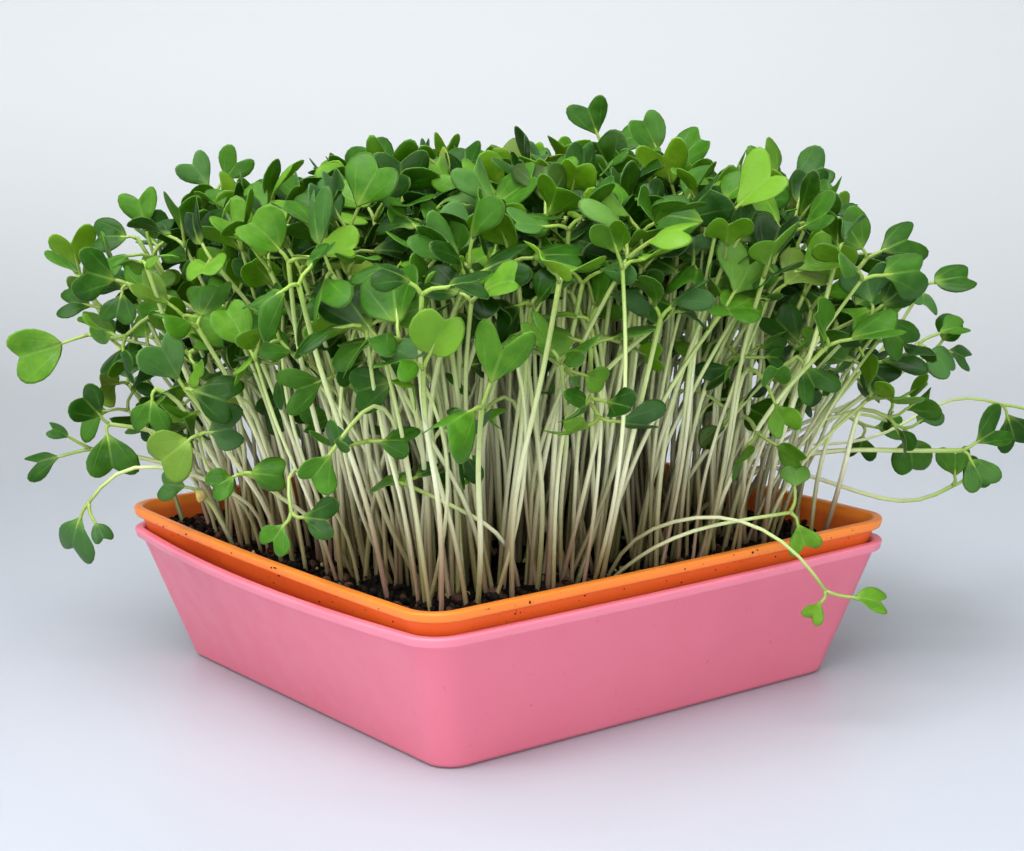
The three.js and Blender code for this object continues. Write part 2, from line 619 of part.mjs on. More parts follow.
// All the seedlings rooted in one quarter of the bed, with that quarter of the root mat
function greensGeometry(corner, seedlings, random) {
  let body = matSolid(corner, random);
  for (const seedling of seedlings) {
    const here = Math.sign(seedling.root.x) === corner[0] && Math.sign(seedling.root.y) === corner[1];
    if (here) body = body.add(solid(seedlingGeometry(seedling)));
  }
  return geometryOf(body);
}

function piece(name, geometry, material, height) {
  const mesh = new THREE.Mesh(geometry, material);
  mesh.name = name;
  mesh.position.z = height;
  return mesh;
}

const pink = new THREE.MeshStandardMaterial({ color: 0xe17d96, roughness: 0.38, metalness: 0 });
const orange = new THREE.MeshStandardMaterial({ color: 0xee6f28, roughness: 0.36, metalness: 0 });
const dark = new THREE.MeshStandardMaterial({ color: 0x1d1612, roughness: 0.95, metalness: 0 });
const green = new THREE.MeshStandardMaterial({ color: 0x3f7d2a, roughness: 0.5, metalness: 0 });

const random = randomNumbers(SEED);
const seedlings = growSeedlings(random);
const tray = new THREE.Group();
tray.add(piece('outer_tray', trayGeometry(OUTER_BOW), pink, 0));
tray.add(piece('inner_tray', drainedTray(INNER_BOW), orange, NEST_RISE));
tray.add(piece('soil', soilGeometry(random), dark, NEST_RISE));
tray.add(piece('greens_front', greensGeometry([-1, -1], seedlings, random), green, 0));
tray.add(piece('greens_left', greensGeometry([-1, 1], seedlings, random), green, 0));
tray.add(piece('greens_right', greensGeometry([1, -1], seedlings, random), green, 0));
tray.add(piece('greens_back', greensGeometry([1, 1], seedlings, random), green, 0));

export default tray;
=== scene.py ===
# A square tray of brassica microgreens, dressed for a studio photograph.
# Lengths are in millimetres until a mesh is made, which turns them into metres.
import math
import random

import bpy
import numpy as np
from mathutils import Matrix, Vector, noise


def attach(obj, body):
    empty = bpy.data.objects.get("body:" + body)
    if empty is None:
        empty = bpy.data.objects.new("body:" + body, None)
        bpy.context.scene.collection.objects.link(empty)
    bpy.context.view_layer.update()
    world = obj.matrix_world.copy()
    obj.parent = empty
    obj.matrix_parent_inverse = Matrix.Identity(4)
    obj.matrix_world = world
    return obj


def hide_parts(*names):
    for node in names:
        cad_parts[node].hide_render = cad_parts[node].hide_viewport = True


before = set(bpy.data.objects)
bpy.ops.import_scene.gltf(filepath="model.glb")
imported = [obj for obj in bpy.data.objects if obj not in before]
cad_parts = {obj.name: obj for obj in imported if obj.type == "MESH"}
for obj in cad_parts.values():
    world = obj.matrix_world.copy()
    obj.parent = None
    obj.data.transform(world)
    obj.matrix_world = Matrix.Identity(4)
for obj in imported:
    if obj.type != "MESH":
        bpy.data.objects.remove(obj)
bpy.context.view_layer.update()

METRE = 0.001

# Trays, as in the part: both come out of one mould
RIM_WIDTH = 125.0
TRAY_HEIGHT = 30.5
FLOOR_WIDTH = 105.2
RIM_OUT = 1.2
RIM_BAND = 2.1
WALL = 1.15
FLOOR = 1.5
CORNER_TOP = 7.5
CORNER_BOTTOM = 6.0
NEST_RISE = 4.9
OUTER_BOW = {"left": 4.2, "right": 1.1, "back": 1.1, "far": 1.1}
INNER_BOW = {"left": 1.6, "right": 0.2, "back": 0.2, "far": 0.2}
CORNER_STEPS = 14
SIDE_STEPS = 16
DRAIN_HOLE = 4.0
DRAIN_PITCH = 30.0

# Growing medium
SOIL_TOP = 24.8
BED_Z = NEST_RISE + SOIL_TOP
WALL_RUN = 52.0  # half of the walls' straight run, between the rounded corners
CRUMBS = 3200
CHIPS = 210
HULLS = 170
HULL_SIZE = (2.0, 2.9)
RIM_SPECKS = 150

# Seedlings: a jittered grid of ROWS by ROWS, with EDGE_GAPS of its outermost cells left empty
SEED = 20
ROOT_BED = 107.0
STEM_RADIUS = 0.51
STEM_SUNK = 2.6
RIM_PASS = 13.0
CANOPY_TOP = 108.5
CANOPY_FALL = 13.0
ROWS = 27
EDGE_GAPS = 0.45
TRIES = 6
CLUMP = 9.5
CLUMP_PULL = 0.5
LEAF_WIDTH = (9.8, 13.8)
LEAF_TILT = (5, 70)
BENT_LEAF_WIDTH = (7.5, 11.0)
BENT_LEAST_RISE = 20.0
# Stems lean and drop more towards the walls, and WIDE_SHARE of them scatter or bow more widely
STEM_LEAN = 4.0
EDGE_LEAN = 21.0
MOST_LEAN = 29.0
DROP = 10.0
EDGE_DROP = 26.0
SCATTER = 9.0
WIDE_SCATTER = 20.0
BOW = 4.5
WIDE_BOW = 11.0
WIDE_SHARE = 0.3
INNER_SHADE = 0.6
STANDOUT_TONES = (0.2, 0.65)
# Lighter tones for standouts low at the front: painted light
LOW_FRONT_LIT_TONES = (0.8, 0.95)

SEED_COAT = 3.4
SEED_COAT_AT = (-65.2, 16.0, 43.4)

# Where the photograph was taken from, and how the tray sits in its frame
CAMERA_AT = (-271.0, -373.8, 143.3)
CAMERA_HEADING = 36.34
CAMERA_DIP = 10.86
CAMERA_ROLL = -0.96
LENS = 73.69
SENSOR = 36.0
VIEW_TURN = math.radians(-35.9)
ACROSS = np.array([math.cos(VIEW_TURN), math.sin(VIEW_TURN), 0.0])
NEAR = np.array([math.sin(VIEW_TURN), -math.cos(VIEW_TURN), 0.0])
UP = np.array([0.0, 0.0, 1.0])

chance = random.Random(SEED)


# Small helpers

def seen(place):
    """A point given as across to the right, near towards the viewer and up from the table."""
    across, near, up = place
    return ACROSS * across + NEAR * near + UP * up


def unit(vector):
    return vector / max(np.linalg.norm(vector), 1e-9)


def square_to(vector, axis):
    """The part of a vector that is square to an axis, as a unit vector."""
    return unit(vector - axis * np.dot(vector, axis))


def clamp(value, low, high):
    return min(max(value, low), high)


def circle(radius, height, count):
    """A level ring of points."""
    turns = [2 * math.pi * i / count for i in range(count)]
    return [(radius * math.cos(t), radius * math.sin(t), height) for t in turns]


def any_way():
    """A random level direction."""
    turn = chance.uniform(0, 2 * math.pi)
    return np.array([math.cos(turn), math.sin(turn), 0.0])


def placed(name, data):
    """A new object, put into the scene."""
    thing = bpy.data.objects.new(name, data)
    bpy.context.scene.collection.objects.link(thing)
    return thing


def curve_points(knots, count):
    """count points, evenly spaced, on a smooth curve through the knots."""
    knots = [np.asarray(k, float) for k in knots]
    padded = [2 * knots[0] - knots[1], *knots, 2 * knots[-1] - knots[-2]]
    dense = []
    for a, b, c, d in zip(padded, padded[1:], padded[2:], padded[3:]):
        for t in np.linspace(0, 1, 12, endpoint=False):
            dense.append(0.5 * (2 * b + (c - a) * t + (2 * a - 5 * b + 4 * c - d) * t ** 2
                                + (3 * b - a - 3 * c + d) * t ** 3))
    dense = np.array([*dense, knots[-1]])
    along = np.concatenate([[0], np.cumsum(np.linalg.norm(np.diff(dense, axis=0), axis=1))])
    wanted = np.linspace(0, along[-1], count)
    return np.stack([np.interp(wanted, along, dense[:, i]) for i in range(3)], axis=1)


class Gather:
    """Collects the parts of one mesh: points, faces and the numbers that its material reads."""

    def __init__(self):
        self.points = []
        self.faces = {3: [], 4: []}
        self.looks = []
        self.places = []
        self.count = 0

    def add(self, points, faces, look=(0.5, 0, 0), place=(0, 0, 0)):
        """look and place are three numbers, for the whole part or for each point."""
        points = np.asarray(points, float)
        for sides, rows in faces.items():
            if len(rows):
                self.faces[sides].append(np.asarray(rows, int) + self.count)
        self.points.append(points)
        self.looks.append(np.broadcast_to(np.asarray(look, float), (len(points), 3)))
        self.places.append(np.broadcast_to(np.asarray(place, float), (len(points), 3)))
        self.count += len(points)

    def build(self, name, material):
        mesh = bpy.data.meshes.new(name)
        faces = [row for parts in self.faces.values() for rows in parts for row in rows.tolist()]
        mesh.from_pydata(np.concatenate(self.points) * METRE, [], faces)
        mesh.polygons.foreach_set("use_smooth", [True] * len(faces))
        for label, rows in (("look", self.looks), ("place", self.places)):
            layer = mesh.attributes.new(label, "FLOAT_VECTOR", "POINT")
            layer.data.foreach_set("vector", np.concatenate(rows).astype(np.float32).ravel())
        mesh.materials.append(material)
        mesh.validate()
        return placed(name, mesh)


def declare(piece, slot, *nodes):
    """The piece moves with the object and stands for these solids; slot is not used."""
    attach(piece, "root")
    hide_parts(*nodes)


# Node materials

class Shader:
    """A material's node tree, with one short call for each kind of node used here."""

    def __init__(self, name):
        self.material = bpy.data.materials.new(name)
        self.material.use_nodes = True
        self.nodes = self.material.node_tree.nodes
        self.links = self.material.node_tree.links
        self.surface = self.nodes["Principled BSDF"]

    def set(self, **values):
        for name, value in values.items():
            self.surface.inputs[name.replace("_", " ")].default_value = value

    def feed(self, source, name):
        self.links.new(source, self.surface.inputs[name])

    def coordinates(self):
        return self.nodes.new("ShaderNodeTexCoord").outputs["Object"]

    def split(self, source):
        parts = self.nodes.new("ShaderNodeSeparateXYZ")
        self.links.new(source, parts.inputs[0])
        return parts.outputs

    def attribute(self, name):
        """The three numbers of a point attribute."""
        node = self.nodes.new("ShaderNodeAttribute")
        node.attribute_name = name
        return self.split(node.outputs["Vector"])

    def noise(self, vector, scale, detail=3.0, rough=0.55):
        node = self.nodes.new("ShaderNodeTexNoise")
        node.inputs["Scale"].default_value = scale
        node.inputs["Detail"].default_value = detail
        node.inputs["Roughness"].default_value = rough
        self.links.new(vector, node.inputs["Vector"])
        return node.outputs["Fac"]

    def math(self, operation, first, second=0.0, third=0.0):
        node = self.nodes.new("ShaderNodeMath")
        node.operation = operation
        for socket, value in zip(node.inputs, (first, second, third)):
            if isinstance(value, (int, float)):
                socket.default_value = value
            else:
                self.links.new(value, socket)
        return node.outputs[0]

    def times(self, first, second):
        return self.math("MULTIPLY", first, second)

    def drift(self, source, amount):
        """A noise as a drift to both sides of zero."""
        return self.times(self.math("SUBTRACT", source, 0.5), amount)

    def span(self, source, low, high, start=0.0, end=1.0):
        """Turns low..high into start..end, smoothly and clamped."""
        node = self.nodes.new("ShaderNodeMapRange")
        node.interpolation_type = "SMOOTHSTEP"
        for name, value in (("From Min", low), ("From Max", high), ("To Min", start), ("To Max", end)):
            node.inputs[name].default_value = value
        self.links.new(source, node.inputs["Value"])
        return node.outputs[0]

    def blend(self, amount, first, second):
        """Mixes two colours, each a socket or three numbers."""
        node = self.nodes.new("ShaderNodeMix")
        node.data_type = "RGBA"
        if isinstance(amount, (int, float)):
            node.inputs[0].default_value = amount
        else:
            self.links.new(amount, node.inputs[0])
        for socket, value in ((node.inputs[6], first), (node.inputs[7], second)):
            if isinstance(value, tuple):
                socket.default_value = (*value, 1.0)
            else:
                self.links.new(value, socket)
        return node.outputs[2]

    def ramp(self, source, stops):
        """A colour ramp: stops are (place, (r, g, b))."""
        node = self.nodes.new("ShaderNodeValToRGB")
        while len(node.color_ramp.elements) < len(stops):
            node.color_ramp.elements.new(0.5)
        for element, (place, colour) in zip(node.color_ramp.elements, stops):
            element.position = place
            element.color = (*colour, 1.0)
        self.links.new(source, node.inputs[0])
        return node.outputs[0]

    def bump(self, height, strength, distance):
        node = self.nodes.new("ShaderNodeBump")
        node.inputs["Strength"].default_value = strength
        node.inputs["Distance"].default_value = distance
        self.links.new(height, node.inputs["Height"])
        self.links.new(node.outputs[0], self.surface.inputs["Normal"])


def tray_plastic(name, lit_colour, shaded_colour, stain, low, high):
    """Satin moulded plastic with painted light and shade: paler on the rim and deeper below it (heights low
    to high), with a fine grain.
    """
    shader = Shader(name)
    where = shader.coordinates()
    height = shader.split(where)[2]
    slow = shader.noise(where, 38.0, 2.0)
    # Painted shade: the colour deepens below the rim, mixed with a slow random tone.
    wall = shader.span(height, low, high, 0.75, 0.0)
    amount = shader.math("MULTIPLY_ADD", shader.math("SUBTRACT", slow, 0.5), 0.6, wall)
    colour = shader.blend(shader.span(amount, -0.25, 1.2), lit_colour, shaded_colour)
    speck = shader.span(shader.noise(where, 900.0, 1.0), 0.73, 0.78)
    shader.feed(shader.blend(shader.times(speck, 0.35), colour, stain), "Base Color")
    scuff = shader.noise(where, 160.0, 4.0)
    shader.feed(shader.span(scuff, 0.3, 0.75, 0.33, 0.46), "Roughness")
    shader.bump(shader.noise(where, 1500.0, 2.0), 0.08, 0.0002)
    shader.set(Specular_IOR_Level=0.45)
    return shader.material


def pink_plastic():
    # The rim's painted lit colour, and the painted shade below the rim.
    lit_colour = (0.865, 0.243, 0.338)
    shaded_colour = (0.75, 0.165, 0.248)
    return tray_plastic("pink_plastic", lit_colour, shaded_colour, (0.45, 0.10, 0.14), 0.0275, 0.0285)


def orange_plastic():
    # The rim's painted lit colour, and the painted shade below the rim.
    lit_colour = (0.98, 0.27, 0.030)
    shaded_colour = (0.73, 0.105, 0.020)
    return tray_plastic("orange_plastic", lit_colour, shaded_colour, (0.20, 0.05, 0.02), 0.0325, 0.0345)


def leaf_skin():
    """Seed leaf: place holds across, along, edge; look holds tone, underside, yellow (1) to painted sheen
    (-1).
    """
    shader = Shader("leaf_skin")
    where = shader.coordinates()
    across, along, edge = shader.attribute("place")
    tone, underside, yellow_and_sheen = shader.attribute("look")
    mottle = shader.noise(where, 260.0, 3.0)
    mixed = shader.math("ADD", tone, shader.drift(mottle, 0.5))
    top = shader.ramp(mixed, [
        (0.0, (0.005, 0.027, 0.001)),
        (0.35, (0.017, 0.077, 0.003)),
        (0.7, (0.050, 0.165, 0.007)),
        (1.0, (0.130, 0.290, 0.018)),
    ])
    below = shader.ramp(mixed, [
        (0.0, (0.009, 0.040, 0.001)),
        (0.35, (0.031, 0.108, 0.002)),
        (0.7, (0.088, 0.220, 0.004)),
        (1.0, (0.165, 0.330, 0.014)),
    ])
    colour = shader.blend(underside, top, below)
    spread = shader.math("ARCTAN2", across, shader.math("ADD", along, 0.06))
    fan = shader.math("PINGPONG", shader.math("ABSOLUTE", spread), 0.36)
    reach = shader.math("ADD", along, 0.15)
    vein = shader.span(shader.times(fan, reach), 0.006, 0.034, 1.0, 0.0)
    rib = shader.span(shader.math("ABSOLUTE", across), 0.015, 0.075, 1.0, 0.0)
    fade = shader.span(along, 0.35, 0.95, 1.0, 0.15)
    lines = shader.times(shader.math("MAXIMUM", shader.times(vein, 0.45), rib), fade)
    colour = shader.blend(shader.times(lines, 0.34), colour, (0.19, 0.33, 0.055))
    base = shader.span(along, 0.02, 0.34, 1.0, 0.0)
    centre = shader.span(shader.math("ABSOLUTE", across), 0.05, 0.45, 1.0, 0.0)
    flare = shader.times(base, shader.math("MULTIPLY_ADD", centre, 0.7, 0.3))
    colour = shader.blend(shader.times(flare, 0.55), colour, (0.22, 0.36, 0.05))
    hem = shader.span(edge, 0.955, 1.0)
    colour = shader.blend(shader.times(hem, 0.45), colour, (0.20, 0.35, 0.08))
    # Painted sheen: leaves whose third look number is negative take a paler grey-green on their upper side, a
    # painted reflection.
    painted_sheen = shader.math("MAXIMUM", shader.times(yellow_and_sheen, -1.0), 0.0)
    painted_sheen = shader.times(painted_sheen, shader.math("SUBTRACT", 1.0, underside))
    colour = shader.blend(painted_sheen, colour, (0.070, 0.165, 0.055))
    colour = shader.blend(shader.math("MAXIMUM", yellow_and_sheen, 0.0), colour, (0.34, 0.46, 0.07))
    shader.feed(colour, "Base Color")
    shader.feed(shader.span(mottle, 0.3, 0.7, 0.34, 0.50), "Roughness")
    crinkle = shader.math("MULTIPLY_ADD", lines, -0.9, shader.noise(where, 900.0, 3.0))
    shader.bump(crinkle, 0.3, 0.0003)
    shader.set(Specular_IOR_Level=0.16)
    shader.set(Subsurface_Weight=0.12, Subsurface_Scale=0.001, Subsurface_Radius=(0.5, 1.0, 0.2))
    return shader.material


def stem_skin():
    """Stem: place holds how far up it lies; look holds tone, how pink its foot is, and shade."""
    shader = Shader("stem_skin")
    where = shader.coordinates()
    rise = shader.attribute("place")[0]
    tone, blush, shade = shader.attribute("look")
    # Pale along the stem, browner and darker towards its foot: partly the stem's own colour, partly painted
    # shade near the bed.
    pale = shader.ramp(rise, [
        (0.0, (0.11, 0.075, 0.035)),
        (0.16, (0.27, 0.215, 0.10)),
        (0.46, (0.86, 0.88, 0.59)),
        (0.75, (0.66, 0.80, 0.33)),
        (1.0, (0.27, 0.42, 0.060)),
    ])
    foot = shader.times(blush, shader.span(rise, 0.0, 0.45, 1.0, 0.0))
    colour = shader.blend(foot, pale, (0.34, 0.20, 0.16))
    streak = shader.noise(where, 160.0, 2.0)
    amount = shader.math("ADD", tone, shader.drift(streak, 0.5))
    colour = shader.blend(shader.span(amount, 0.1, 0.9, 0.38, 0.0), colour, (0.27, 0.32, 0.10))
    dim = shader.times(shade, shader.span(rise, 0.1, 0.8, 1.0, 0.25))
    colour = shader.blend(dim, colour, (0.055, 0.060, 0.018))
    shader.feed(colour, "Base Color")
    shader.feed(shader.span(streak, 0.3, 0.7, 0.26, 0.42), "Roughness")
    shader.bump(shader.noise(where, 1300.0, 2.0), 0.05, 0.0001)
    shader.set(Specular_IOR_Level=0.45)
    shader.set(Subsurface_Weight=0.25, Subsurface_Scale=0.0015, Subsurface_Radius=(1.0, 0.9, 0.5))
    return shader.material


def soil_skin():
    """Dark moist medium with browner and greyer grains."""
    shader = Shader("soil_skin")
    where = shader.coordinates()
    grain = shader.noise(where, 700.0, 6.0, 0.7)
    patch = shader.noise(where, 120.0, 3.0)
    colour = shader.ramp(grain, [
        (0.3, (0.0015, 0.001, 0.0008)),
        (0.55, (0.005, 0.0035, 0.0025)),
        (0.72, (0.018, 0.011, 0.006)),
        (0.85, (0.060, 0.045, 0.026)),
    ])
    colour = shader.blend(shader.span(patch, 0.45, 0.7, 0.0, 0.5), colour, (0.016, 0.006, 0.004))
    shader.feed(colour, "Base Color")
    shader.feed(shader.span(grain, 0.3, 0.7, 0.95, 0.6), "Roughness")
    shader.bump(grain, 0.9, 0.0012)
    shader.set(Specular_IOR_Level=0.08)
    return shader.material


def grain_skin(name, first, second, rough):
    """Small loose things: each has its own tone from its look."""
    shader = Shader(name)
    where = shader.coordinates()
    tone = shader.attribute("look")[0]
    speckle = shader.noise(where, 1400.0, 3.0)
    amount = shader.math("ADD", tone, shader.drift(speckle, 0.7))
    shader.feed(shader.blend(shader.span(amount, 0.0, 1.0), first, second), "Base Color")
    shader.feed(shader.span(speckle, 0.3, 0.7, rough, rough + 0.25), "Roughness")
    shader.bump(speckle, 0.5, 0.0004)
    shader.set(Specular_IOR_Level=0.2)
    return shader.material


# Trays

def wall_half(height):
    slope = (RIM_WIDTH / 2 - RIM_OUT - FLOOR_WIDTH / 2) / (TRAY_HEIGHT - RIM_BAND)
    return FLOOR_WIDTH / 2 + slope * height


def corner_radius(height):
    return CORNER_BOTTOM + (CORNER_TOP - CORNER_BOTTOM) * height / TRAY_HEIGHT


def swell(bow, height, along, straight):
    """How far a side bows out at a place along it."""
    return bow * height / TRAY_HEIGHT * max(1 - (along / straight) ** 2, 0)


def square_ring(height, inset, bow):
    """A level ring round a square with rounded corners, set in from the wall's outer face by inset."""
    half = wall_half(height) - inset
    radius = max(corner_radius(height) - inset, 1.0)
    straight = half - radius
    ring = []
    for side, name in enumerate(("far", "back", "left", "right")):
        places = []
        for i in range(SIDE_STEPS + 1):
            along = straight * (2 * i / SIDE_STEPS - 1)
            places.append((half + swell(bow[name], height, along, straight), along))
        for i in range(1, CORNER_STEPS):
            angle = i / CORNER_STEPS * math.pi / 2
            places.append((straight + radius * math.cos(angle), straight + radius * math.sin(angle)))
        turn = side * math.pi / 2
        for out, along in places:
            ring.append((out * math.cos(turn) - along * math.sin(turn),
                         out * math.sin(turn) + along * math.cos(turn), height))
    return np.array(ring)


def ring_faces(count, rings):
    """Quads between rings of count points each, facing out where the rings run upwards."""
    i = np.arange(count)
    after = (i + 1) % count
    first = np.stack([i, after, count + after, count + i], axis=1)
    return np.concatenate([first + r * count for r in range(rings - 1)])


def fan_faces(count, start, middle, outward):
    i = np.arange(count)
    after = (i + 1) % count
    rows = np.stack([np.full(count, middle), start + i, start + after], axis=1)
    return rows if outward else rows[:, ::-1]


def skin(rings):
    """A closed skin through a run of rings, with a fan at each end."""
    count = len(rings[0])
    points = np.concatenate([*rings, [rings[0].mean(axis=0)], [rings[-1].mean(axis=0)]])
    total = count * len(rings)
    quads = ring_faces(count, len(rings))
    triangles = np.concatenate([
        fan_faces(count, 0, total, False),
        fan_faces(count, total - count, total + 1, True),
    ])
    return points, {3: triangles, 4: quads}


def arc(centre, radius, start, end, steps):
    """Points (inset, height) on an arc of the tray's section, in degrees, 0 pointing inwards, 90 up."""
    angles = [math.radians(start + (end - start) * i / steps) for i in range(steps + 1)]
    return [(centre[0] + radius * math.cos(a), centre[1] + radius * math.sin(a)) for a in angles]


def tray_section():
    """The section of a tray wall, from the underside up the outside, over the rim and down the inside."""
    foot = 1.3
    edge = 0.6
    under = TRAY_HEIGHT - RIM_BAND
    return [
        (foot + 2.0, 0.0),
        *arc((foot, foot), foot, 270, 180, 6),
        (0.0, under - 0.5),
        (-0.1, under - 0.12),
        (-RIM_OUT * 0.55, under),
        *arc((-RIM_OUT + 0.35, under + 0.36), 0.36, 270, 180, 4),
        *arc((-RIM_OUT + 0.17 + edge, TRAY_HEIGHT - edge), edge, 180, 90, 5),
        *arc((WALL - 0.35, TRAY_HEIGHT - 0.35), 0.35, 90, 0, 4),
        (WALL, TRAY_HEIGHT * 0.6),
        (WALL, FLOOR + foot),
        (WALL + 0.35, FLOOR + 0.4),
        (WALL + foot, FLOOR),
        (WALL + 8.0, FLOOR),
    ]


def tray(name, rise, bow, material, node, slot):
    rings = [square_ring(height, inset, bow) for inset, height in tray_section()]
    points, faces = skin(rings)
    points[:, 2] += rise
    gather = Gather()
    gather.add(points, faces)
    piece = gather.build(name, material)
    declare(piece, slot, node)
    return piece


def drain_holes(piece):
    """Cuts the square of drain holes through the inner tray's floor."""
    cutter_mesh = bpy.data.meshes.new("drain_cutter")
    sides = 24
    points = []
    faces = []
    for x in (-DRAIN_PITCH, 0, DRAIN_PITCH):
        for y in (-DRAIN_PITCH, 0, DRAIN_PITCH):
            first = len(points)
            for z in (NEST_RISE - 2, NEST_RISE + FLOOR + 2):
                for p in circle(DRAIN_HOLE / 2, z, sides):
                    points.append(((x + p[0]) * METRE, (y + p[1]) * METRE, p[2] * METRE))
            faces.append([first + sides - 1 - i for i in range(sides)])
            faces.append([first + sides + i for i in range(sides)])
            faces.extend((first + ring_faces(sides, 2)).tolist())
    cutter_mesh.from_pydata(points, [], faces)
    cutter = placed("drain_cutter", cutter_mesh)
    cut = piece.modifiers.new("drain", "BOOLEAN")
    cut.operation = "DIFFERENCE"
    cut.solver = "EXACT"
    cut.object = cutter
    bpy.context.view_layer.update()
    ready = piece.evaluated_get(bpy.context.evaluated_depsgraph_get())
    mesh = bpy.data.meshes.new_from_object(ready)
    piece.modifiers.clear()
    piece.data = mesh
    bpy.data.objects.remove(cutter)


# Growing medium

def uneven(x, y, scale, layer):
    return noise.noise(Vector((x * scale, y * scale, layer)))


def bed_height(x, y):
    """How the top of the medium rolls and crumbles, above or below its mean level."""
    roll = uneven(x, y, 0.035, 4.0) * 2.4 + clamp(-(x + y) / 40 - 0.4, 0.0, 1.3)
    lump = uneven(x, y, 0.21, 9.0) * 1.9
    crumb = uneven(x, y, 0.75, 2.0) * 1.3
    return roll + lump + crumb


def medium():
    rings = [
        square_ring(FLOOR + 0.35, WALL + 2.2, INNER_BOW),
        square_ring(FLOOR + 2.4, WALL + 0.5, INNER_BOW),
        square_ring(SOIL_TOP - 3.0, WALL + 0.5, INNER_BOW),
    ]
    edge = square_ring(SOIL_TOP, WALL + 0.6, INNER_BOW)
    steps = 52
    for i in range(steps):
        ring = edge * np.array([1 - i / steps, 1 - i / steps, 1.0])
        for point in ring:
            point[2] = SOIL_TOP + bed_height(point[0], point[1]) - (0.8 if i == 0 else 0.0)
        rings.append(ring)
    points, faces = skin(rings)
    points[:, 2] += NEST_RISE
    gather = Gather()
    gather.add(points, faces)
    declare(gather.build("growing_medium", soil_skin()), "soil", "soil")


def ball(rows, columns):
    """A unit ball as points and faces."""
    points = [(0, 0, -1)]
    for r in range(1, rows):
        tilt = math.pi * r / rows
        points.extend(circle(math.sin(tilt), -math.cos(tilt), columns))
    points.append((0, 0, 1))
    ring = np.arange(columns)
    low = np.stack([np.zeros(columns, int), 1 + (ring + 1) % columns, 1 + ring], axis=1)
    high = fan_faces(columns, 1 + (rows - 2) * columns, len(points) - 1, True)
    return np.array(points, float), {3: np.concatenate([low, high]), 4: 1 + ring_faces(columns, rows - 1)}


def turned(points):
    """The points turned some random way."""
    first, second, third = [Matrix.Rotation(chance.uniform(0, 6.28), 3, axis) for axis in "ZXY"]
    return points @ np.array(first @ second @ third).T


def bed_place(margin, edge_share):
    """A random place on the bed; edge_share of them lie near the tray's walls, where the bed shows."""
    limit = wall_half(SOIL_TOP) - WALL - margin
    x = chance.uniform(-limit, limit)
    y = chance.uniform(-limit, limit)
    if chance.random() < edge_share:
        pushed = limit - abs(chance.gauss(0, 7))
        side = chance.choice((-1, 1))
        if chance.random() < 0.5:
            x = side * pushed
        else:
            y = side * pushed
    reach = math.hypot(max(abs(x) - WALL_RUN, 0), max(abs(y) - WALL_RUN, 0))
    if reach > limit - WALL_RUN - 0.5:
        return bed_place(margin, edge_share)
    return x, y


def litter(name, count, shape, size, margin, material, squash=1.0):
    """Scatters small bodies over the bed. size is (least, most) across."""
    points, faces = shape
    gather = Gather()
    for _ in range(count):
        x, y = bed_place(margin, 0.6)
        across = chance.uniform(*size)
        rough = points * (1 + 0.22 * np.array([[chance.uniform(-1, 1)] for _ in points]))
        rough = turned(rough * np.array([1.0, chance.uniform(0.6, 1.0), squash]) * across / 2)
        at = np.array([x, y, BED_Z + bed_height(x, y) + across * chance.uniform(0.0, 0.35)])
        gather.add(rough + at, faces, (chance.random(), 0, 0))
    declare(gather.build(name, material), "soil", "soil")


def seed_hull():
    """Half a seed coat: a small bowl with a thin wall, closed as a body."""
    rows = 5
    rings = []
    for r in range(rows):
        tilt = math.pi / 2 * (1 - r / rows) * 1.1
        rings.append(np.array(circle(math.sin(tilt), -math.cos(tilt), 12)))
    inner = [ring * 0.86 + np.array([0, 0, 0.02]) for ring in rings]
    return skin([*rings[::-1], *inner])


def hulls():
    points, faces = seed_hull()
    gather = Gather()
    for _ in range(HULLS):
        x, y = bed_place(2.0, 0.7)
        across = chance.uniform(*HULL_SIZE)
        body = turned(points * np.array([1.0, 0.82, 0.9]) * across / 2)
        at = np.array([x, y, BED_Z + bed_height(x, y) + chance.uniform(0.3, 1.1)])
        gather.add(body + at, faces, (chance.random(), 0, 0))
    material = grain_skin("hull_skin", (0.022, 0.009, 0.006), (0.095, 0.040, 0.022), 0.35)
    declare(gather.build("seed_hulls", material), "soil", "soil")


def rim_specks():
    """Crumbs of the medium stuck to the inner tray's rim and the face below it."""
    points, faces = ball(4, 6)
    gather = Gather()
    near_sides = (("left", -1, 0), ("right", 0, -1))
    sides = (*near_sides, *near_sides, ("far", 1, 0), ("back", 0, 1))
    for _ in range(RIM_SPECKS):
        name, x, y = chance.choice(sides)
        height = chance.choice((chance.uniform(27.6, 30.2), chance.uniform(24.8, 28.2)))
        along = chance.uniform(-WALL_RUN, WALL_RUN)
        band = RIM_OUT if height > TRAY_HEIGHT - RIM_BAND + 0.1 else 0.0
        straight = wall_half(height) - corner_radius(height)
        out = wall_half(height) + band + swell(INNER_BOW[name], height, along, straight)
        size = 0.09 + 0.30 * chance.random() ** 3
        at = np.array([x * out, y * out, height + NEST_RISE]) + np.array([y, x, 0]) * along
        gather.add(turned(points * np.array([1.0, 0.7, 0.6]) * size) + at, faces, (chance.random(), 0, 0))
    material = grain_skin("speck_skin", (0.010, 0.006, 0.004), (0.06, 0.022, 0.010), 0.7)
    declare(gather.build("tray_specks", material), "soil", "soil")


def seed_coat():
    """The pale seed coat that one sprout on the left still wears under its leaf."""
    points, faces = seed_hull()
    gather = Gather()
    body = turned(points * np.array([1.0, 0.85, 0.95]) * SEED_COAT / 2)
    gather.add(body + seen(SEED_COAT_AT), faces)
    material = grain_skin("coat_skin", (0.42, 0.30, 0.07), (0.70, 0.58, 0.22), 0.4)
    declare(gather.build("seed_coat", material), "greens", "greens_left")


# Seedlings

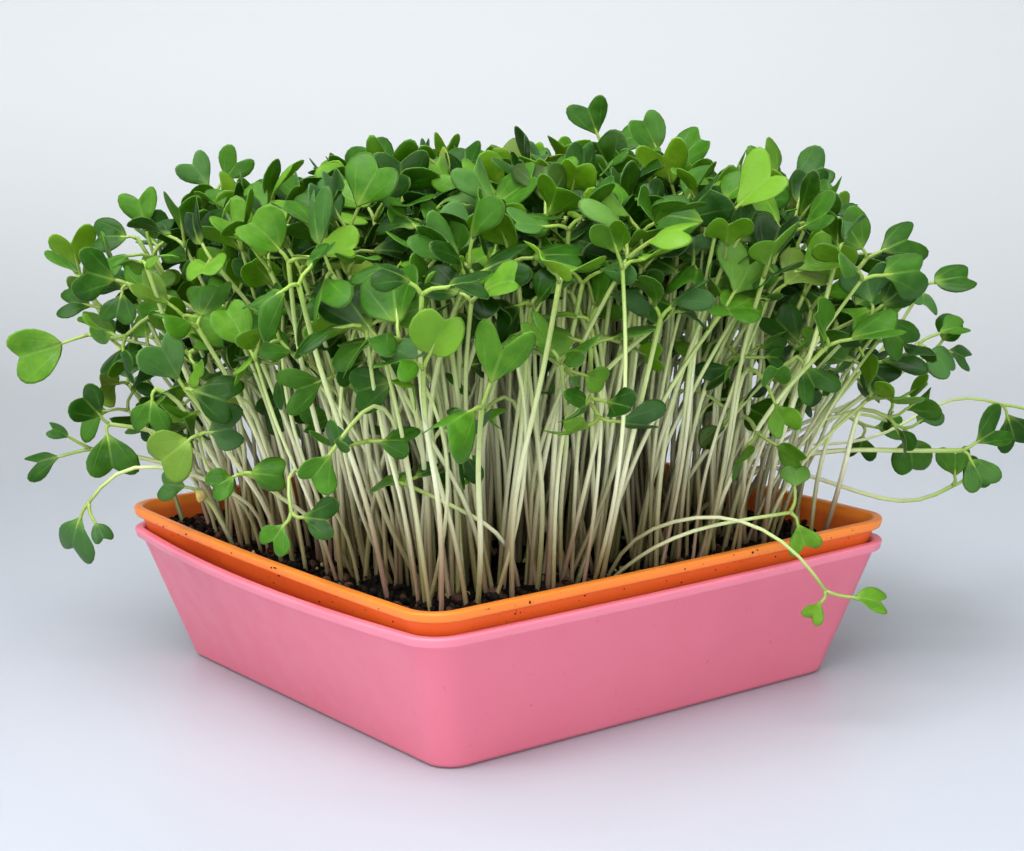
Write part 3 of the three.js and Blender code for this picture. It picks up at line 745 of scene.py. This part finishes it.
# Half outlines of three kinds of seed leaf: across as a share of half the width, along as one of the blade.
# Each flares from its stalk into two lobes with a notch between them.
LEAF_KINDS = [
    [(0, 0), (0.10, 0.05), (0.30, 0.17), (0.68, 0.34), (0.96, 0.53), (1.0, 0.75), (0.85, 0.95),
     (0.54, 1.02), (0.23, 0.94), (0, 0.82)],
    [(0, 0), (0.10, 0.06), (0.32, 0.20), (0.72, 0.36), (0.99, 0.56), (1.0, 0.82), (0.78, 1.02),
     (0.47, 1.02), (0.20, 0.86), (0, 0.68)],
    [(0, 0), (0.15, 0.03), (0.52, 0.14), (0.90, 0.36), (1.0, 0.61), (0.89, 0.87), (0.58, 1.01),
     (0.26, 0.97), (0, 0.88)],
]
LEAF_MIDDLE = (0.0, 0.50)
LEAF_RINGS = (0.92, 0.58)
OUTLINE_STEPS = 13
STEM_SIDES = 6


def leaf_pattern(half):
    """The flat leaf: places (across, along, edge, side) and faces; side is 1 above, -1 below."""
    knots = [np.array([x, y, 0.0]) for x, y in half]
    right = curve_points(knots, OUTLINE_STEPS + 1)[:, :2]
    left = right[-2:0:-1] * np.array([-1.0, 1.0])
    rim = np.concatenate([right, left])
    middle = np.array(LEAF_MIDDLE)
    count = len(rim)
    rows = [np.column_stack([rim, np.ones(count), np.zeros(count)])]
    quads = []
    triangles = []
    i = np.arange(count)
    after = (i + 1) % count
    for side in (1, -1):
        previous = i
        for share in LEAF_RINGS:
            start = sum(len(r) for r in rows)
            ring = middle + (rim - middle) * share
            rows.append(np.column_stack([ring, np.full(count, share), np.full(count, side)]))
            here = start + i
            quad = np.stack([previous, previous[after], here[after], here], axis=1)
            quads.append(quad if side > 0 else quad[:, ::-1])
            previous = here
        start = sum(len(r) for r in rows)
        rows.append(np.array([[*middle, 0.0, side]]))
        fan = np.stack([previous, previous[after], np.full(count, start)], axis=1)
        triangles.append(fan if side > 0 else fan[:, ::-1])
    return np.concatenate(rows), {3: np.concatenate(triangles), 4: np.concatenate(quads)}


PATTERNS = [leaf_pattern(half) for half in LEAF_KINDS]


def leaf_axes(leaf, top, way):
    """Where a leaf starts, its axes, and the lengths of its stalk and blade."""
    out = top["out"] * way
    start = leaf["start"] + out * 0.3 + top["axis"] * 0.2
    along = leaf["end"] - start
    reach = np.linalg.norm(along)
    along = unit(along)
    side = unit(np.cross(along, leaf["face"]))
    up = unit(np.cross(side, along))
    stalk = max(reach - leaf["width"] * 0.78, 1.8)
    blade = max(reach - stalk, leaf["width"] * 0.7)
    return start, along, side, up, stalk, blade


def blade_shape(leaf, across, along, edge, turn, blade):
    """Where points of the blade lie once it is folded and curled: out to the side, along and up."""
    half = leaf["width"] / 2 * (1 - leaf["lop"] * (across > 0))
    x = np.abs(across) * half
    soft = np.sqrt(x ** 2 + 0.25) - 0.5
    share = x / half
    up = soft * math.sin(leaf["fold"]) - leaf["droop"] * share ** 2 * half
    up = up - leaf["curl"] * along ** 2 * blade
    up = up + leaf["wave"] * np.sin(leaf["waves"] * turn + leaf["phase"]) * edge ** 3
    up = up + leaf["skew"] * across * along * half
    aside = np.sign(across) * x * (math.cos(leaf["fold"]) - 0.35 * abs(leaf["droop"]) * share)
    ahead = along * blade * (1 - 0.3 * abs(leaf["curl"]) * along) + leaf["sweep"] * share ** 2 * blade
    return aside, ahead, up


def add_leaf(leaves, stems, leaf, top, way, seedling):
    pattern, faces = leaf["kind"]
    start, along, side, up, stalk, blade = leaf_axes(leaf, top, way)
    across, length, edge, face = pattern.T
    turn = np.arctan2(across, length - LEAF_MIDDLE[1])
    aside, ahead, lift = blade_shape(leaf, across, length, edge, turn, blade)
    thick = 0.16 + 0.18 * np.exp(-(across / 0.10) ** 2) * (1 - length * 0.6)
    depth = np.where(face > 0, 0.16, np.where(face < 0, -thick, 0.0))
    lift = lift + depth * np.minimum((1 - edge) * 8 + 0.3, 1)
    points = start + np.outer(aside, side) + np.outer(stalk + ahead, along) + np.outer(lift, up)
    below = (face < 0).astype(float)
    ones = np.ones(len(points))
    look = np.column_stack([ones * leaf["tone"], below, ones * leaf["yellow_and_sheen"]])
    leaves.add(points, faces, look, np.column_stack([across, length, edge]))
    add_stalk(stems, leaf, top, (start, along, side, up, stalk, blade), seedling)


def add_stalk(stems, leaf, top, axes, seedling):
    """The leaf's stalk, from inside the stem's tip to under the blade, where it thins into the rib."""
    start, along, _, up, stalk, blade = axes
    apex = leaf["start"]
    route = [apex - top["axis"] * 0.5, start + along * stalk * 0.4 + top["axis"] * 0.25]
    for share in (0.02, 0.25, 0.5):
        nothing = np.zeros(1)
        _, ahead, lift = blade_shape(leaf, nothing, np.array([share]), nothing, nothing, blade)
        route.append(start + along * (stalk + ahead[0]) + up * (lift[0] - 0.12 - 0.1 * share))
    points = curve_points(route, 8)
    radii = np.interp(np.linspace(0, 1, 8), [0, 0.25, 0.6, 1.0], [0.46, 0.38, 0.36, 0.08])
    rise = np.linspace(0.97, 1.25, 8)
    add_tube(stems, points, radii, 6, top["across"], rise, seedling)


def add_tube(gather, points, radii, sides, across, rise, seedling):
    """A closed tube along points, with a rounded end."""
    count = len(points)
    ways = np.gradient(points, axis=0)
    ways /= np.maximum(np.linalg.norm(ways, axis=1), 1e-9)[:, None]
    turns = np.arange(sides) / sides * 2 * math.pi
    rings = []
    normal = square_to(across, ways[-1])
    for i in range(count - 1, -1, -1):
        normal = square_to(normal, ways[i])
        other = np.cross(ways[i], normal)
        circle = np.outer(np.cos(turns), normal) + np.outer(np.sin(turns), other)
        rings.append(points[i] + circle * radii[i])
    rings.reverse()
    body = np.concatenate([*rings, [points[0]], [points[-1] + ways[-1] * radii[-1] * 0.7]])
    total = sides * count
    foot = fan_faces(sides, 0, total, False)
    tip = fan_faces(sides, total - sides, total + 1, True)
    along = np.concatenate([np.repeat(rise, sides), [rise[0], rise[-1]]])
    place = np.column_stack([along, np.zeros(len(body)), np.zeros(len(body))])
    look = (seedling["tone"], seedling["blush"], seedling["shade"])
    gather.add(body, {3: np.concatenate([foot, tip]), 4: ring_faces(sides, count)}, look, place)


def stem_top(points, leaves):
    """The top of a stem: its axis, the way the first leaf goes off and the way across."""
    axis = unit(points[-1] - points[-2])
    spread = unit(leaves[0]["end"] - leaves[0]["start"])
    if len(leaves) > 1:
        spread = spread - unit(leaves[1]["end"] - leaves[1]["start"])
    out = square_to(spread + np.array([0.01, 0.02, 0.0]), axis)
    return {"axis": axis, "out": out, "across": np.cross(axis, out)}


def add_seedling(leaves, stems, seedling):
    knots = seedling["knots"]
    length = sum(np.linalg.norm(b - a) for a, b in zip(knots, knots[1:]))
    count = max(int(length / 4.2), 12)
    points = curve_points(knots, count)
    for _ in range(4):
        points[1:-1] = (points[:-2] + 2 * points[1:-1] + points[2:]) / 4
    top = stem_top(points, seedling["leaves"])
    share = np.linspace(0, 1, count)
    radii = seedling["radius"] * np.interp(share, [0, 0.1, 0.9, 1.0], [1.05, 1.0, 0.88, 0.95])
    add_tube(stems, points, radii, STEM_SIDES, top["across"], share, seedling)
    for way, leaf in zip((1, -1), seedling["leaves"]):
        add_leaf(leaves, stems, leaf, top, way, seedling)


def leaf_of(start, end, width, face, tone=None):
    """A leaf from its stem's top to the far end of its blade, folded up along the rib or drooping."""
    droops = chance.random() < 0.45
    return {
        "kind": chance.choices(PATTERNS, (5, 4, 4))[0],
        "start": start,
        "end": end,
        "width": width,
        "face": face,
        "lop": chance.uniform(0.0, 0.25),
        "fold": chance.uniform(-0.3, 0.2) if droops else chance.uniform(0.1, 0.65),
        "droop": chance.uniform(0.2, 0.7) if droops else chance.uniform(-0.1, 0.25),
        "curl": chance.uniform(0.0, 0.45) if droops else chance.uniform(-0.15, 0.35),
        "sweep": chance.uniform(-0.12, 0.15),
        "wave": chance.uniform(0.1, 0.7),
        "waves": chance.choice((2, 3, 3, 4)),
        "phase": chance.uniform(0, 6.28),
        "skew": chance.uniform(-0.4, 0.4),
        "tone": chance.betavariate(1.3, 1.6) * 0.92 if tone is None else tone,
        # Positive makes a yellower leaf; negative gives a painted sheen on its upper side.
        "yellow_and_sheen": chance.choices((0.0, -0.6 * chance.random(), 0.5 * chance.random()), (7, 2.2, 0.6))[0],
    }


def seedling_of(knots, leaves):
    return {
        "knots": knots,
        "leaves": leaves,
        "radius": STEM_RADIUS * chance.uniform(0.78, 1.18),
        "tone": chance.random(),
        "blush": chance.random() ** 1.6,
        "shade": 0.0,
    }


def root_point(x, y):
    limit = ROOT_BED / 2 - 1.8
    return np.array([clamp(x, -limit, limit), clamp(y, -limit, limit), BED_Z - STEM_SUNK])


# Sprouts that stand out of the mass, much as in the part: root (across, near), points the stem passes,
# its top, and for each leaf the far end of its blade, its width and its turn from sky (0) to viewer (1)
STANDOUTS = [
    # left side
    ((-60, -6), [(-64, -4, 63), (-75, -2, 74)], (-91, 0, 77), [((-107, 2, 72), 13, 1)]),
    ((-58, 2), [(-63, 4, 47), (-72, 8, 56)], (-85, 12, 59),
     [((-89, 15, 65), 10, 0.8), ((-84, 16, 51), 12.5, 0.9)]),
    ((-59, -9), [(-71, -8, 44), (-82, -7, 48)], (-93, -6, 50),
     [((-107, -4, 47), 9, 0.6), ((-101, -3, 56), 6, 0.5)]),
    ((-52, 14), [(-66, 23, 50), (-77, 27, 54), (-82, 28, 53)], (-87, 29, 45),
     [((-93, 29, 33), 12, 0.6), ((-83, 33, 38), 5, 0.4)]),
    ((-50, -10), [(-69, -8, 77)], (-76, -6, 94), [((-79, -4, 108), 9.5, 1), ((-71, -9, 101), 9, 0.7)]),
    ((-52, -18), [(-70, -16, 76)], (-81, -14, 97), [((-91, -13, 98), 10, 0.7)]),
    ((-55, 2), [(-60, 8, 79), (-69, 12, 86)], (-79, 15, 90),
     [((-88, 17, 93), 12, 0.8), ((-81, 19, 83), 9, 0.6)]),
    ((-50, -26), [(-69, -24, 68), (-80, -24, 76)], (-92, -24, 80),
     [((-101, -22, 83), 9, 0.5), ((-96, -20, 89), 9, 0.7)]),
    ((-56, 13), [(-65, 21, 59), (-69, 24, 71)], (-72, 26, 69), [((-74, 28, 60), 10, 0.4)]),
    ((-47, 24), [(-57, 34, 57), (-60, 41, 69)], (-63, 44, 72),
     [((-68, 45, 82), 12, 0.8), ((-53, 49, 70), 12, 0.8)]),
    ((-50, 18), [(-60, 30, 48), (-61, 38, 58)], (-61, 42, 62),
     [((-68, 45, 58), 11, 0.9), ((-53, 45, 64), 10, 0.9)]),
    ((-58, 8), [(-63, 13, 41)], (-66, 16, 45), [((-73, 17, 47), 8, 0.7)]),
    ((-36, 34), [(-46, 44, 49), (-48, 49, 56)], (-51, 52, 56),
     [((-45, 54, 56), 9, 0.9), ((-57, 55, 54), 7, 0.7)]),
    ((-29, 42), [(-40, 58, 60), (-42, 65, 58)], (-40, 68, 51),
     [((-45, 70, 45), 8, 0.7), ((-32, 70, 50), 9, 0.7)]),
    # front corner
    ((4, 50), [(2, 54, 41), (-6, 61, 49), (-13, 63, 53)], (-18, 65, 56),
     [((-22, 57, 56), 10, 0.6), ((-11, 63, 60), 7, 0.3)]),
    ((-7, 50), [(-8, 56, 42)], (-8, 58, 52), [((-7, 58, 60), 8, 0.9), ((-14, 54, 55), 6, 0.3)]),
    # two that arch low over the right-hand rim
    ((21, 41), [(25, 42, 38), (35, 45, 43), (46, 47, 45), (56, 50, 41), (62, 52, 36)], (66, 52, 29),
     [((62, 53, 24), 6, 0.3), ((78, 53, 27), 8, 0.5)]),
    ((19, 45), [(27, 45, 35), (39, 45, 41), (51, 45, 43)], (60, 44, 44),
     [((61, 42, 54), 6, 0.2), ((63, 46, 36), 7, 0.8)]),
    # right side
    ((48, -30), [(89, -32, 43), (107, -34, 53), (115, -34, 54)], (122, -34, 51),
     [((126, -34, 40), 11, 0.8), ((136, -34, 48), 10, 0.6)]),
    ((50, 0), [(64, 4, 51), (76, 4, 58), (84, 4, 57)], (91, 4, 53),
     [((93, 6, 43), 11, 0.9), ((99, 2, 57), 7, 0.3)]),
    ((36, 8), [(48, 9, 40), (62, 10, 48), (76, 10, 50), (92, 9, 49)], (103, 9, 49),
     [((113, 5, 54), 10, 0.9), ((107, 15, 42), 9, 0.8)]),
    ((50, -12), [(75, -14, 38), (88, -14, 33), (99, -14, 31)], (106, -14, 36),
     [((106, -12, 45), 9, 0.8), ((114, -16, 40), 8, 0.8)]),
    ((48, -17), [(84, -19, 61), (94, -20, 73)], (99, -20, 82),
     [((111, -21, 85), 11, 0.5), ((97, -9, 79), 8, 0.6)]),
    ((54, -7), [(83, -6, 58), (90, -5, 68)], (95, -4, 71),
     [((106, -4, 76), 8, 0.4), ((103, -1, 65), 9, 0.5)]),
    ((54, -24), [(88, -27, 55), (98, -29, 62)], (105, -30, 66),
     [((114, -30, 63), 8, 0.6), ((109, -28, 73), 8, 0.5)]),
    ((44, 14), [(61, 24, 70), (70, 29, 80)], (78, 32, 83),
     [((86, 35, 76), 11, 0.9), ((76, 31, 93), 10, 0.7)]),
    ((46, 4), [(74, 6, 82)], (81, 8, 92), [((93, 8, 98), 12, 0.7), ((75, 8, 102), 11, 0.7)]),
    ((34, 22), [(52, 30, 65), (58, 34, 73)], (62, 36, 75), [((66, 39, 67), 10, 0.9)]),
    ((50, -38), [(60, -40, 46), (80, -41, 51)], (90, -42, 45),
     [((99, -43, 43), 8, 0.4), ((88, -40, 37), 8, 0.5)]),
    ((38, -14), [(60, -12, 88)], (64, -10, 106), [((76, -10, 111), 11, 0.5), ((60, -10, 117), 11, 0.6)]),
    # top
    ((14, -30), [(23, -32, 90)], (26, -34, 114), [((22, -34, 125), 9.5, 0.9), ((35, -31, 118), 9, 0.4)]),
    ((22, -18), [(36, -20, 90)], (40, -22, 110), [((34, -22, 122), 10, 0.6), ((49, -22, 117), 10, 0.5)]),
    ((-42, -36), [(-62, -36, 84)], (-66, -38, 105), [((-72, -38, 113), 9, 0.9), ((-59, -38, 114), 9, 0.9)]),
    ((-20, -10), [(-26, -12, 90)], (-27, -14, 106), [((-37, -12, 111), 10, 0.8), ((-17, -16, 111), 10, 0.8)]),
]


def standout(root, via, top, leaves):
    """One row of STANDOUTS as a seedling; its foot clears the rim unless it bends off at once."""
    foot = seen((*root, 0))
    start = root_point(foot[0], foot[1])
    bends = [seen(p) for p in via]
    rise = start + (bends[0] - start) * 0.2
    rise[2] = BED_Z + RIM_PASS
    low = bends[0][2] < rise[2] and max(abs(bends[0][:2])) < wall_half(SOIL_TOP) - WALL
    apex = seen(top)
    # Standouts low at the front take lighter tones: painted light on the front of the stand.
    tones = LOW_FRONT_LIT_TONES if top[1] > 40 and top[2] < 50 else STANDOUT_TONES
    parts = []
    for end, width, turn in leaves:
        face = UP * (1 - turn * 0.8) + NEAR * turn
        tone = chance.uniform(*tones) + 0.2 * (turn == 1)
        leaf = leaf_of(apex, seen(end), width * 1.12, face, tone)
        leaf["fold"] = chance.uniform(0.05, 0.5)
        parts.append(leaf)
    return seedling_of([start, *bends, apex] if low else [start, rise, *bends, apex], parts)


def clumped(x, y):
    """The place moved towards the middle of its clump, so that stems fan out of shared feet."""
    column = math.floor(x / CLUMP)
    row = math.floor(y / CLUMP)
    middle_x = (column + 0.5 + 0.6 * uneven(column, row, 1.7, 5.5)) * CLUMP
    middle_y = (row + 0.5 + 0.6 * uneven(column, row, 1.7, 15.3)) * CLUMP
    return x + (middle_x - x) * CLUMP_PULL, y + (middle_y - y) * CLUMP_PULL


def bent_stem(root, apex, out):
    """Knots of a stem that rises, arches over and lets its top hang a little, and that stem's new top."""
    turn = chance.uniform(-1.2, 1.2)
    way = np.array([out[0] * math.cos(turn) - out[1] * math.sin(turn),
                    out[0] * math.sin(turn) + out[1] * math.cos(turn), 0.0])
    height = apex[2] - root[2]
    rise = height * chance.uniform(0.62, 0.86)
    reach = height * chance.uniform(0.16, 0.30)
    foot = root * 0.7 + apex * 0.3
    middle = np.array([foot[0], foot[1], root[2] + rise * 0.55])
    crown = np.array([foot[0], foot[1], root[2] + rise]) + way * reach * 0.45
    end = crown + way * reach * chance.uniform(0.5, 0.8) - UP * reach * chance.uniform(0.0, 0.5)
    end[2] = max(end[2], BED_Z + BENT_LEAST_RISE)
    return [root, middle, crown, end]


def ordinary(x, y):
    """A seedling of the mass: it leans out more the nearer it stands to the edge, and opens two leaves."""
    wide = ROOT_BED / 2
    root = root_point(*clumped(x, y))
    edge = math.hypot(root[0], root[1]) / (wide * math.sqrt(2))
    side = max(abs(root[0]), abs(root[1])) / wide
    out = unit(np.array([root[0], root[1], 0.0]))
    facing = max(float(np.dot(out, NEAR)), 0.0)
    # side is 1 at the walls, edge at the corners, depth inside the stand and facing on its near side
    depth = clamp((0.93 - side) / 0.35, 0.0, 1.0)
    lean = STEM_LEAN + (EDGE_LEAN - 7 * facing) * side ** 2.2
    dropped = (DROP + (EDGE_DROP - 17 * facing) * side ** 2) * chance.random() ** 1.3
    length = CANOPY_TOP - CANOPY_FALL * edge ** 2 * (1 - 0.7 * facing) - dropped - root[2]
    scatter = WIDE_SCATTER if chance.random() < WIDE_SHARE else SCATTER
    shift = out * lean * chance.uniform(0.4, 1.15)
    shift += np.array([chance.uniform(-scatter, scatter), chance.uniform(-scatter, scatter), 0.0])
    shift *= min(1.0, min(0.5 * length, MOST_LEAN) / max(np.linalg.norm(shift), 1.0))
    rise = math.sqrt(length ** 2 - 1.5 * np.dot(shift, shift))
    apex = root + shift + UP * rise
    knots = [root]
    bow = any_way() * (WIDE_BOW if chance.random() < WIDE_SHARE else BOW) * chance.random()
    for share, pull in ((0.36, 0.2), (0.72, 0.6)):
        knot = root + (apex - root) * pull + bow
        knot += np.array([chance.uniform(-1.3, 1.3), chance.uniform(-1.3, 1.3), 0.0])
        knot[2] = root[2] + rise * share
        knots.append(knot)
    knots.append(apex)
    bent = chance.random() < (0.04 + 0.2 * side ** 4) * (1 - 0.75 * facing)
    if bent:
        knots = bent_stem(root, apex, out)
        apex = knots[-1]
    axis = unit(apex - knots[-2])
    level = square_to(any_way(), axis)
    leaves = []
    width = chance.uniform(*(BENT_LEAF_WIDTH if bent else LEAF_WIDTH))
    for way in (1, -1):
        tilt = math.radians(chance.uniform(*LEAF_TILT))
        roll = chance.gauss(0, 0.4)
        size = width * chance.uniform(0.85, 1.08)
        reach = size * 0.8 + chance.uniform(1.5, 5)
        along = level * way * math.cos(tilt) + axis * math.sin(tilt)
        aside = unit(np.cross(along, axis))
        face = axis + aside * math.sin(roll)
        leaves.append(leaf_of(apex, apex + along * reach, size, face))
        # Painted shade and light: low-hanging leaves deep inside the stand take darker tones, and leaves on
        # the stand's near side, towards the viewer, lighter ones.
        leaves[-1]["tone"] *= 1 - 0.4 * depth * min(dropped / 20, 1) + 0.35 * facing * side
    grown = seedling_of(knots, leaves)
    grown["shade"] = INNER_SHADE * depth * chance.uniform(0.6, 1.0)
    return grown


def leaf_middles(seedling):
    return [leaf["start"] * 0.35 + leaf["end"] * 0.65 for leaf in seedling["leaves"]]


def quarter(root):
    if root[0] < 0:
        return "greens_front" if root[1] < 0 else "greens_left"
    return "greens_right" if root[1] < 0 else "greens_back"


def grow():
    """The standouts, then a jittered grid in which each seedling takes the freest of a few random draws."""
    grown = [standout(*row) for row in STANDOUTS]
    taken = np.array([m for s in grown for m in leaf_middles(s)])
    pitch = (ROOT_BED - 3) / ROWS
    cells = [(c, r) for c in range(ROWS) for r in range(ROWS)]
    chance.shuffle(cells)
    for column, row in cells:
        outermost = min(column, row, ROWS - 1 - column, ROWS - 1 - row) == 0
        if outermost and chance.random() < EDGE_GAPS:
            continue
        best = None
        for _ in range(TRIES):
            x = (column + chance.uniform(0.1, 0.9) - ROWS / 2) * pitch
            y = (row + chance.uniform(0.1, 0.9) - ROWS / 2) * pitch
            seedling = ordinary(x, y)
            middles = np.array(leaf_middles(seedling))
            room = min(np.linalg.norm(taken - m, axis=1).min() for m in middles)
            if best is None or room > best[0]:
                best = (room, seedling, middles)
        grown.append(best[1])
        taken = np.concatenate([taken, best[2]])
    return grown


def greens():
    """Leaves and stems of each quarter, each in a piece of its own."""
    leaf_material = leaf_skin()
    stem_material = stem_skin()
    names = ("greens_front", "greens_left", "greens_right", "greens_back")
    quarters = {name: (Gather(), Gather()) for name in names}
    for seedling in grow():
        leaves, stems = quarters[quarter(seedling["knots"][0])]
        add_seedling(leaves, stems, seedling)
    for name, (leaves, stems) in quarters.items():
        declare(leaves.build(name.replace("greens", "leaves"), leaf_material), "greens", name)
        declare(stems.build(name.replace("greens", "stems"), stem_material), "greens", name)


# The studio

def backdrop():
    """A pale floor that sweeps up gently behind the tray, with painted light and shade on it."""
    shader = Shader("backdrop")
    sideways, away, _ = shader.split(shader.coordinates())
    # Painted light and shade: the colour dims from the front to just behind the tray and brightens up the
    # sweep.
    colour = shader.ramp(shader.span(away, -0.5, 1.1), [
        (0.0, (0.468, 0.497, 0.569)),
        (0.29, (0.443, 0.475, 0.524)),
        (0.41, (0.42, 0.449, 0.486)),
        (0.547, (0.475, 0.50, 0.527)),
        (0.768, (0.655, 0.683, 0.71)),
        (0.878, (0.755, 0.787, 0.813)),
        (1.0, (0.88, 0.91, 0.93)),
    ])
    # Painted shade: towards black on the left of the floor, around the tray's place and the foot of the
    # sweep.
    near_edge = shader.span(away, -0.1, 0.08)
    far_edge = shader.span(away, 0.2, 0.9, 1.0, 0.0)
    left = shader.times(shader.span(sideways, -0.5, 0.15, 0.43, 0.0), near_edge)
    colour = shader.blend(shader.times(left, far_edge), colour, (0.0, 0.0, 0.0))
    shader.feed(colour, "Base Color")
    shader.set(Roughness=0.35, Specular_IOR_Level=0.25)
    section = [(-5.0, 0.0), (-1.0, 0.0), (-0.3, 0.0), (0.0, 0.0)]
    for i in range(33):
        past = i * 0.06
        section.append((0.35 + past, 0.45 * past ** 2))
    points = [(x, y, z) for x in (-6.0, 6.0) for y, z in section]
    count = len(section)
    faces = [(i, count + i, count + i + 1, i + 1) for i in range(count - 1)]
    mesh = bpy.data.meshes.new("backdrop")
    mesh.from_pydata(points, [], faces)
    mesh.polygons.foreach_set("use_smooth", [True] * len(faces))
    mesh.materials.append(shader.material)
    sweep = placed("backdrop", mesh)
    sweep.rotation_euler = (0, 0, VIEW_TURN)


def softbox(name, place, size, power, colour=(1.0, 1.0, 1.0), target=(0, 0, 60)):
    """An area lamp; its place and target are across, near and up."""
    lamp = bpy.data.lights.new(name, "AREA")
    lamp.shape = "RECTANGLE"
    lamp.size, lamp.size_y = size
    lamp.energy = power
    lamp.color = colour
    holder = placed(name, lamp)
    at = Vector(seen(place) * METRE)
    aim = Vector(seen(target) * METRE) - at
    holder.location = at
    holder.rotation_euler = aim.to_track_quat("-Z", "Y").to_euler()


def lights():
    world = bpy.data.worlds.new("studio")
    world.use_nodes = True
    sky = world.node_tree.nodes["Background"].inputs
    sky["Color"].default_value = (0.93, 0.96, 1.0, 1.0)
    sky["Strength"].default_value = 0.18
    bpy.context.scene.world = world
    softbox("top", (-150, 350, 900), (0.8, 0.6), 13.2, (0.98, 0.99, 1.0))
    softbox("left", (-900, 500, 450), (0.6, 0.8), 5.0, (1.0, 0.99, 0.97))
    softbox("right", (800, 700, 380), (0.5, 0.7), 2.6, (1.0, 0.98, 0.96))
    softbox("front", (0, 1100, 300), (0.7, 0.4), 5.2)
    softbox("back", (0, -300, 1000), (1.6, 0.4), 4.4, target=(0, -900, 100))


def camera():
    lens = bpy.data.cameras.new("camera")
    lens.lens = LENS
    lens.sensor_width = SENSOR
    lens.clip_start = 0.01
    holder = placed("camera", lens)
    turn = Matrix.Rotation(math.radians(-CAMERA_HEADING), 4, "Z")
    dip = Matrix.Rotation(math.radians(90 - CAMERA_DIP), 4, "X")
    roll = Matrix.Rotation(math.radians(CAMERA_ROLL), 4, "Z")
    holder.matrix_world = Matrix.Translation(Vector(CAMERA_AT) * METRE) @ turn @ dip @ roll
    bpy.context.scene.camera = holder


camera()
lights()
backdrop()
tray("pink_tray", 0.0, OUTER_BOW, pink_plastic(), "outer_tray", "outer_plastic")
drain_holes(tray("orange_tray", NEST_RISE, INNER_BOW, orange_plastic(), "inner_tray", "inner_plastic"))
medium()
dark_grain = grain_skin("crumb_skin", (0.002, 0.0015, 0.001), (0.018, 0.011, 0.007), 0.75)
litter("crumbs", CRUMBS, ball(3, 5), (0.5, 1.8), 1.0, dark_grain)
pale_grain = grain_skin("chip_skin", (0.07, 0.085, 0.055), (0.42, 0.42, 0.18), 0.6)
litter("chips", CHIPS, ball(3, 5), (0.8, 2.2), 1.5, pale_grain, 0.45)
hulls()
rim_specks()
seed_coat()
greens()

bpy.context.scene.view_settings.view_transform = "Standard"
